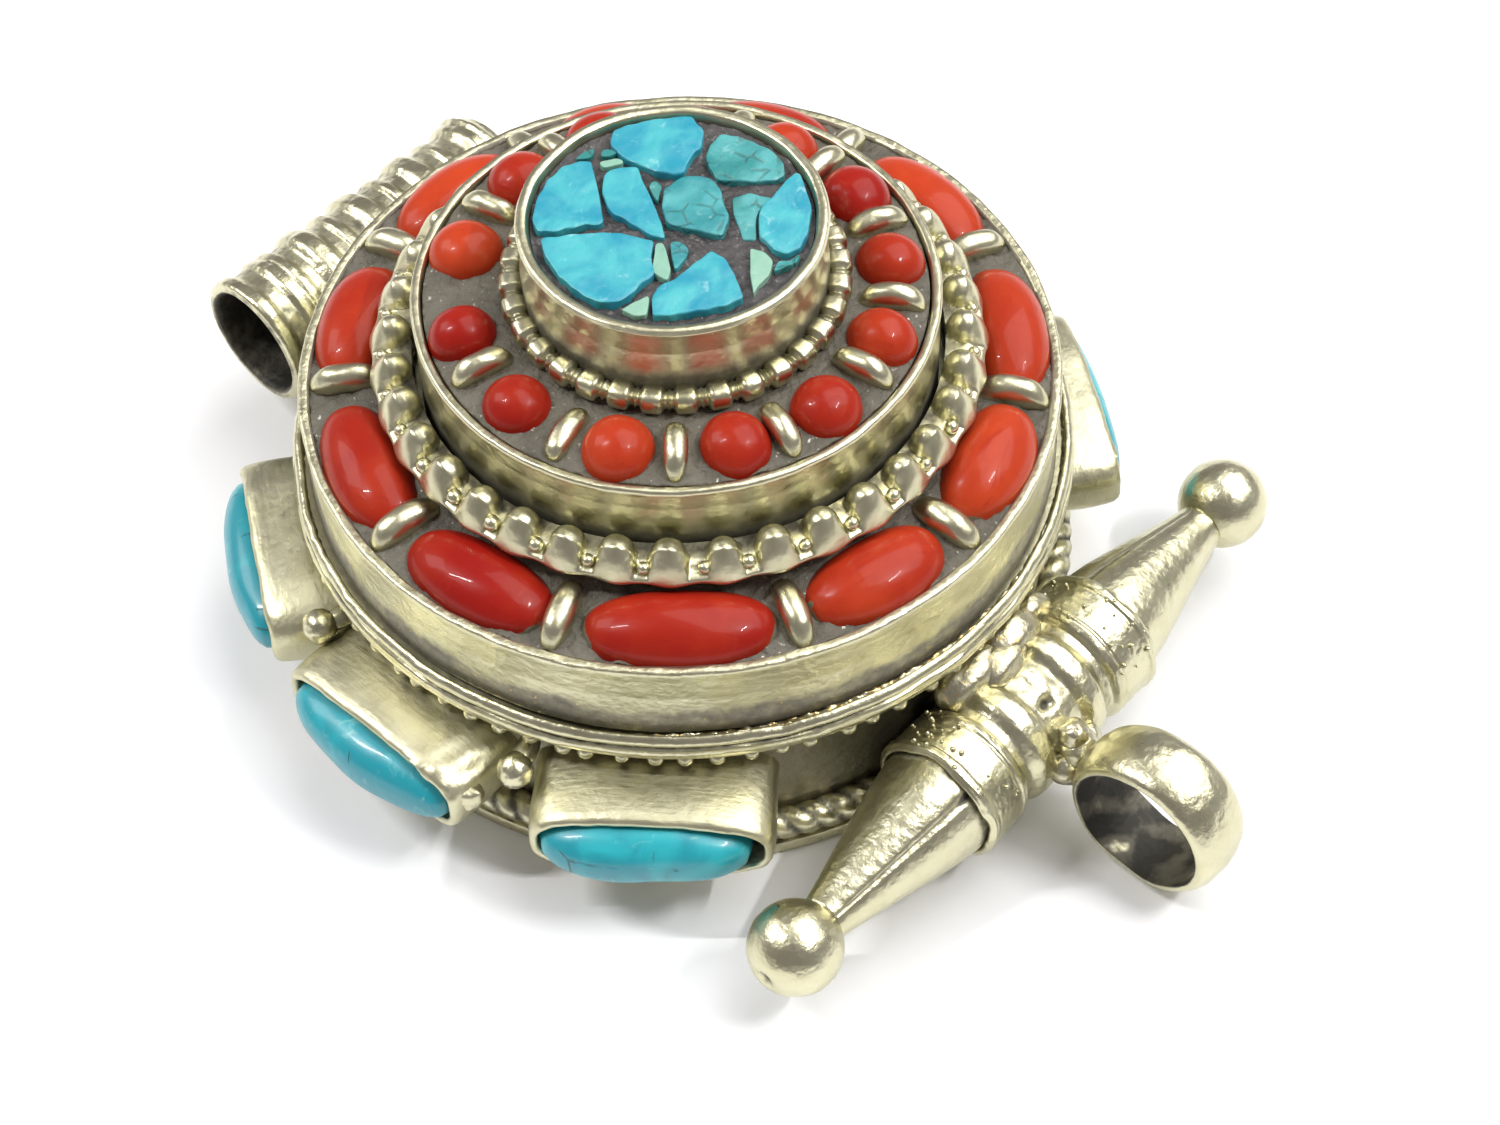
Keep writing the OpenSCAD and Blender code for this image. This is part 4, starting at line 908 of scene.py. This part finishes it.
bed_r = cup_r - 0.72
resin_z = cup_z - 0.55
edge = np.array([(0, resin_z - 1.6), (bed_r, resin_z - 1.6), (bed_r, resin_z), (bed_r - 0.3, resin_z - 0.1), (0, resin_z)])
at = turned(divided(edge, 0.16, False), 260)
at[..., 2] += (at[..., 2] > resin_z - 0.5) * (0.10 * uneven(at, 1.8, 161) + 0.07 * uneven(at, 0.6, 162) + 0.04 * uneven(at, 0.3, 163))
piece("inlay_resin", [shell(at)], "wheel", resin, ["mosaic_bed"], 80)

# each chip: its tone, how far its top stands below the lip, and the corners it was ground to
chip_plan = [
    (0.0, 0.16, [(-2.6, -6.3), (-3.9, -5.7), (-4.9, -4.9), (-5.9, -3.9), (-5.5, -2.7), (-4.6, -2.1), (-3.6, -2.0), (-2.6, -1.5),
                 (-2.2, -1.8), (-1.6, -3.7), (-1.5, -4.7), (-1.8, -5.8)]),
    (0.45, 0.26, [(-5.9, -2.0), (-6.4, -1.3), (-6.6, -0.3), (-6.7, 1.0), (-6.4, 1.8), (-5.8, 2.4), (-5.2, 2.2), (-4.5, 1.5),
                  (-3.8, 0.6), (-3.4, 0.0), (-3.8, -0.9), (-4.2, -1.5), (-5.0, -1.9)]),
    (0.0, 0.14, [(0.8, -6.5), (-0.3, -5.7), (0.4, -4.8), (1.1, -3.9), (2.5, -2.3), (3.5, -3.2), (4.6, -3.9), (5.0, -4.5),
                 (4.6, -5.2), (3.4, -6.0), (2.0, -6.5)]),
    (0.1, 0.20, [(0.1, -4.5), (-0.5, -4.6), (-1.1, -4.2), (-1.5, -3.6), (-1.0, -2.9), (-0.2, -1.5), (0.6, -0.2), (1.3, 0.7),
                 (1.6, 0.1), (1.6, -0.9), (1.7, -2.4), (1.5, -3.0), (0.9, -3.9)]),
    (0.40, 0.18, [(-1.2, -1.6), (-1.9, -1.6), (-2.7, -1.2), (-3.3, -0.3), (-3.0, 0.6), (-2.3, 1.4), (-1.9, 2.1), (-0.8, 2.7),
                  (-0.5, 2.5), (0.0, 1.4), (0.5, 0.1), (-0.1, -0.8)]),
    (0.0, 0.17, [(-6.2, 2.7), (-6.3, 3.0), (-4.9, 4.9), (-3.4, 5.9), (-2.4, 6.2), (-1.7, 5.9), (-1.5, 5.3), (-1.8, 4.1),
                 (-2.7, 3.3), (-3.2, 3.0), (-4.3, 2.9), (-5.6, 2.7)]),
    (0.55, 0.42, [(-3.0, 1.3), (-3.7, 1.7), (-4.1, 2.4), (-4.4, 2.9), (-3.2, 2.9), (-2.6, 3.2), (-1.6, 4.1), (-1.3, 3.5), (-2.2, 2.1)]),
    (0.0, 0.12, [(5.3, -4.0), (3.9, -2.8), (2.5, -1.3), (2.1, -0.3), (1.8, 0.4), (2.7, 1.0), (3.4, 1.9), (4.3, 1.8), (5.3, 1.9),
                 (6.1, 1.6), (6.6, 1.0), (6.7, 0.2), (6.6, -1.4), (6.0, -3.0)]),
    (0.05, 0.16, [(4.0, 2.5), (2.8, 2.9), (1.6, 2.9), (0.5, 3.0), (0.4, 3.7), (0.9, 4.8), (1.8, 6.2), (3.0, 5.8), (4.0, 5.0),
                  (4.8, 4.4), (5.5, 3.6), (4.8, 2.9)]),
    (1.0, 0.30, [(-1.0, 4.2), (-1.2, 4.8), (-1.1, 5.6), (-0.3, 6.1), (0.8, 6.2), (1.3, 6.4), (0.4, 5.4)]),
    (0.95, 0.22, [(1.8, 0.5), (1.5, 0.7), (1.9, 1.3), (2.7, 2.3), (3.3, 2.6), (3.4, 2.1), (3.4, 1.6), (2.6, 1.1)]),
    (0.4, 0.34, [(1.2, 0.9), (0.8, 1.3), (1.0, 2.0), (1.7, 2.3), (2.5, 2.4), (2.0, 1.7)]),
    (1.0, 0.30, [(6.2, 2.1), (5.4, 2.3), (4.9, 2.4), (4.6, 2.6), (5.6, 3.3), (5.9, 3.0)]),
    (0.7, 0.34, [(0.0, -6.6), (-0.7, -6.5), (-1.2, -6.3), (-0.8, -6.0), (-0.3, -6.1)]),
    (0.7, 0.34, [(-0.9, -5.7), (-1.4, -5.9), (-1.7, -5.6), (-1.8, -5.1), (-1.3, -5.3)]),
    (1.1, 0.28, [(-0.8, -5.3), (-1.3, -4.9), (-1.4, -4.5), (-1.2, -4.4), (-0.8, -4.7), (-0.4, -5.0), (-0.5, -5.4)]),
    (0.75, 0.36, [(-1.0, -2.5), (-1.5, -2.4), (-1.4, -1.9), (-0.8, -1.6), (-0.4, -1.3), (-0.5, -1.7)]),
    (0.6, 0.40, [(-1.2, 5.8), (-1.6, 6.2), (-2.3, 6.4), (-1.7, 6.6), (-1.0, 6.4), (-0.5, 6.1)])]
rng = np.random.default_rng(29)
shells = []
for tone_of, sunk, corners in chip_plan:
    line = divided(softened(corners, 0.22, 3), 0.16)
    middle = line.mean(0)
    # rows: (share of the outline, how far in from it, height)
    share = np.array([0, 1, 1, 1, 0.995, 0.97, 0.93, 0.85, 0.7, 0.5, 0.3, 0.12, 0])
    rise = np.array([-0.9, -0.9, -0.5, -0.14, -0.05, -0.012, 0, 0, 0, 0, 0, 0, 0])
    flat = middle + (line - middle)[None] * share[:, None, None]
    at = np.concatenate([flat, np.broadcast_to(rise[:, None, None], flat.shape[:2] + (1,))], -1) + (0, 0, cup_z - sunk)
    tilt = rng.normal(size=2) * 0.018
    top = rise[:, None] > -0.3
    at[..., 2] += top * ((flat - middle) @ tilt + 0.035 * uneven(at, 2.0, 171) + 0.018 * uneven(at, 0.6, 172))
    at[..., :2] += (0.05 * uneven(at, 1.1, 173) * (share[:, None] > 0.6))[..., None]
    shells.append(shell(at, tone=tone_of))
piece("inlay_chips", shells, "wheel", chips, ["mosaic_chips"], 45)
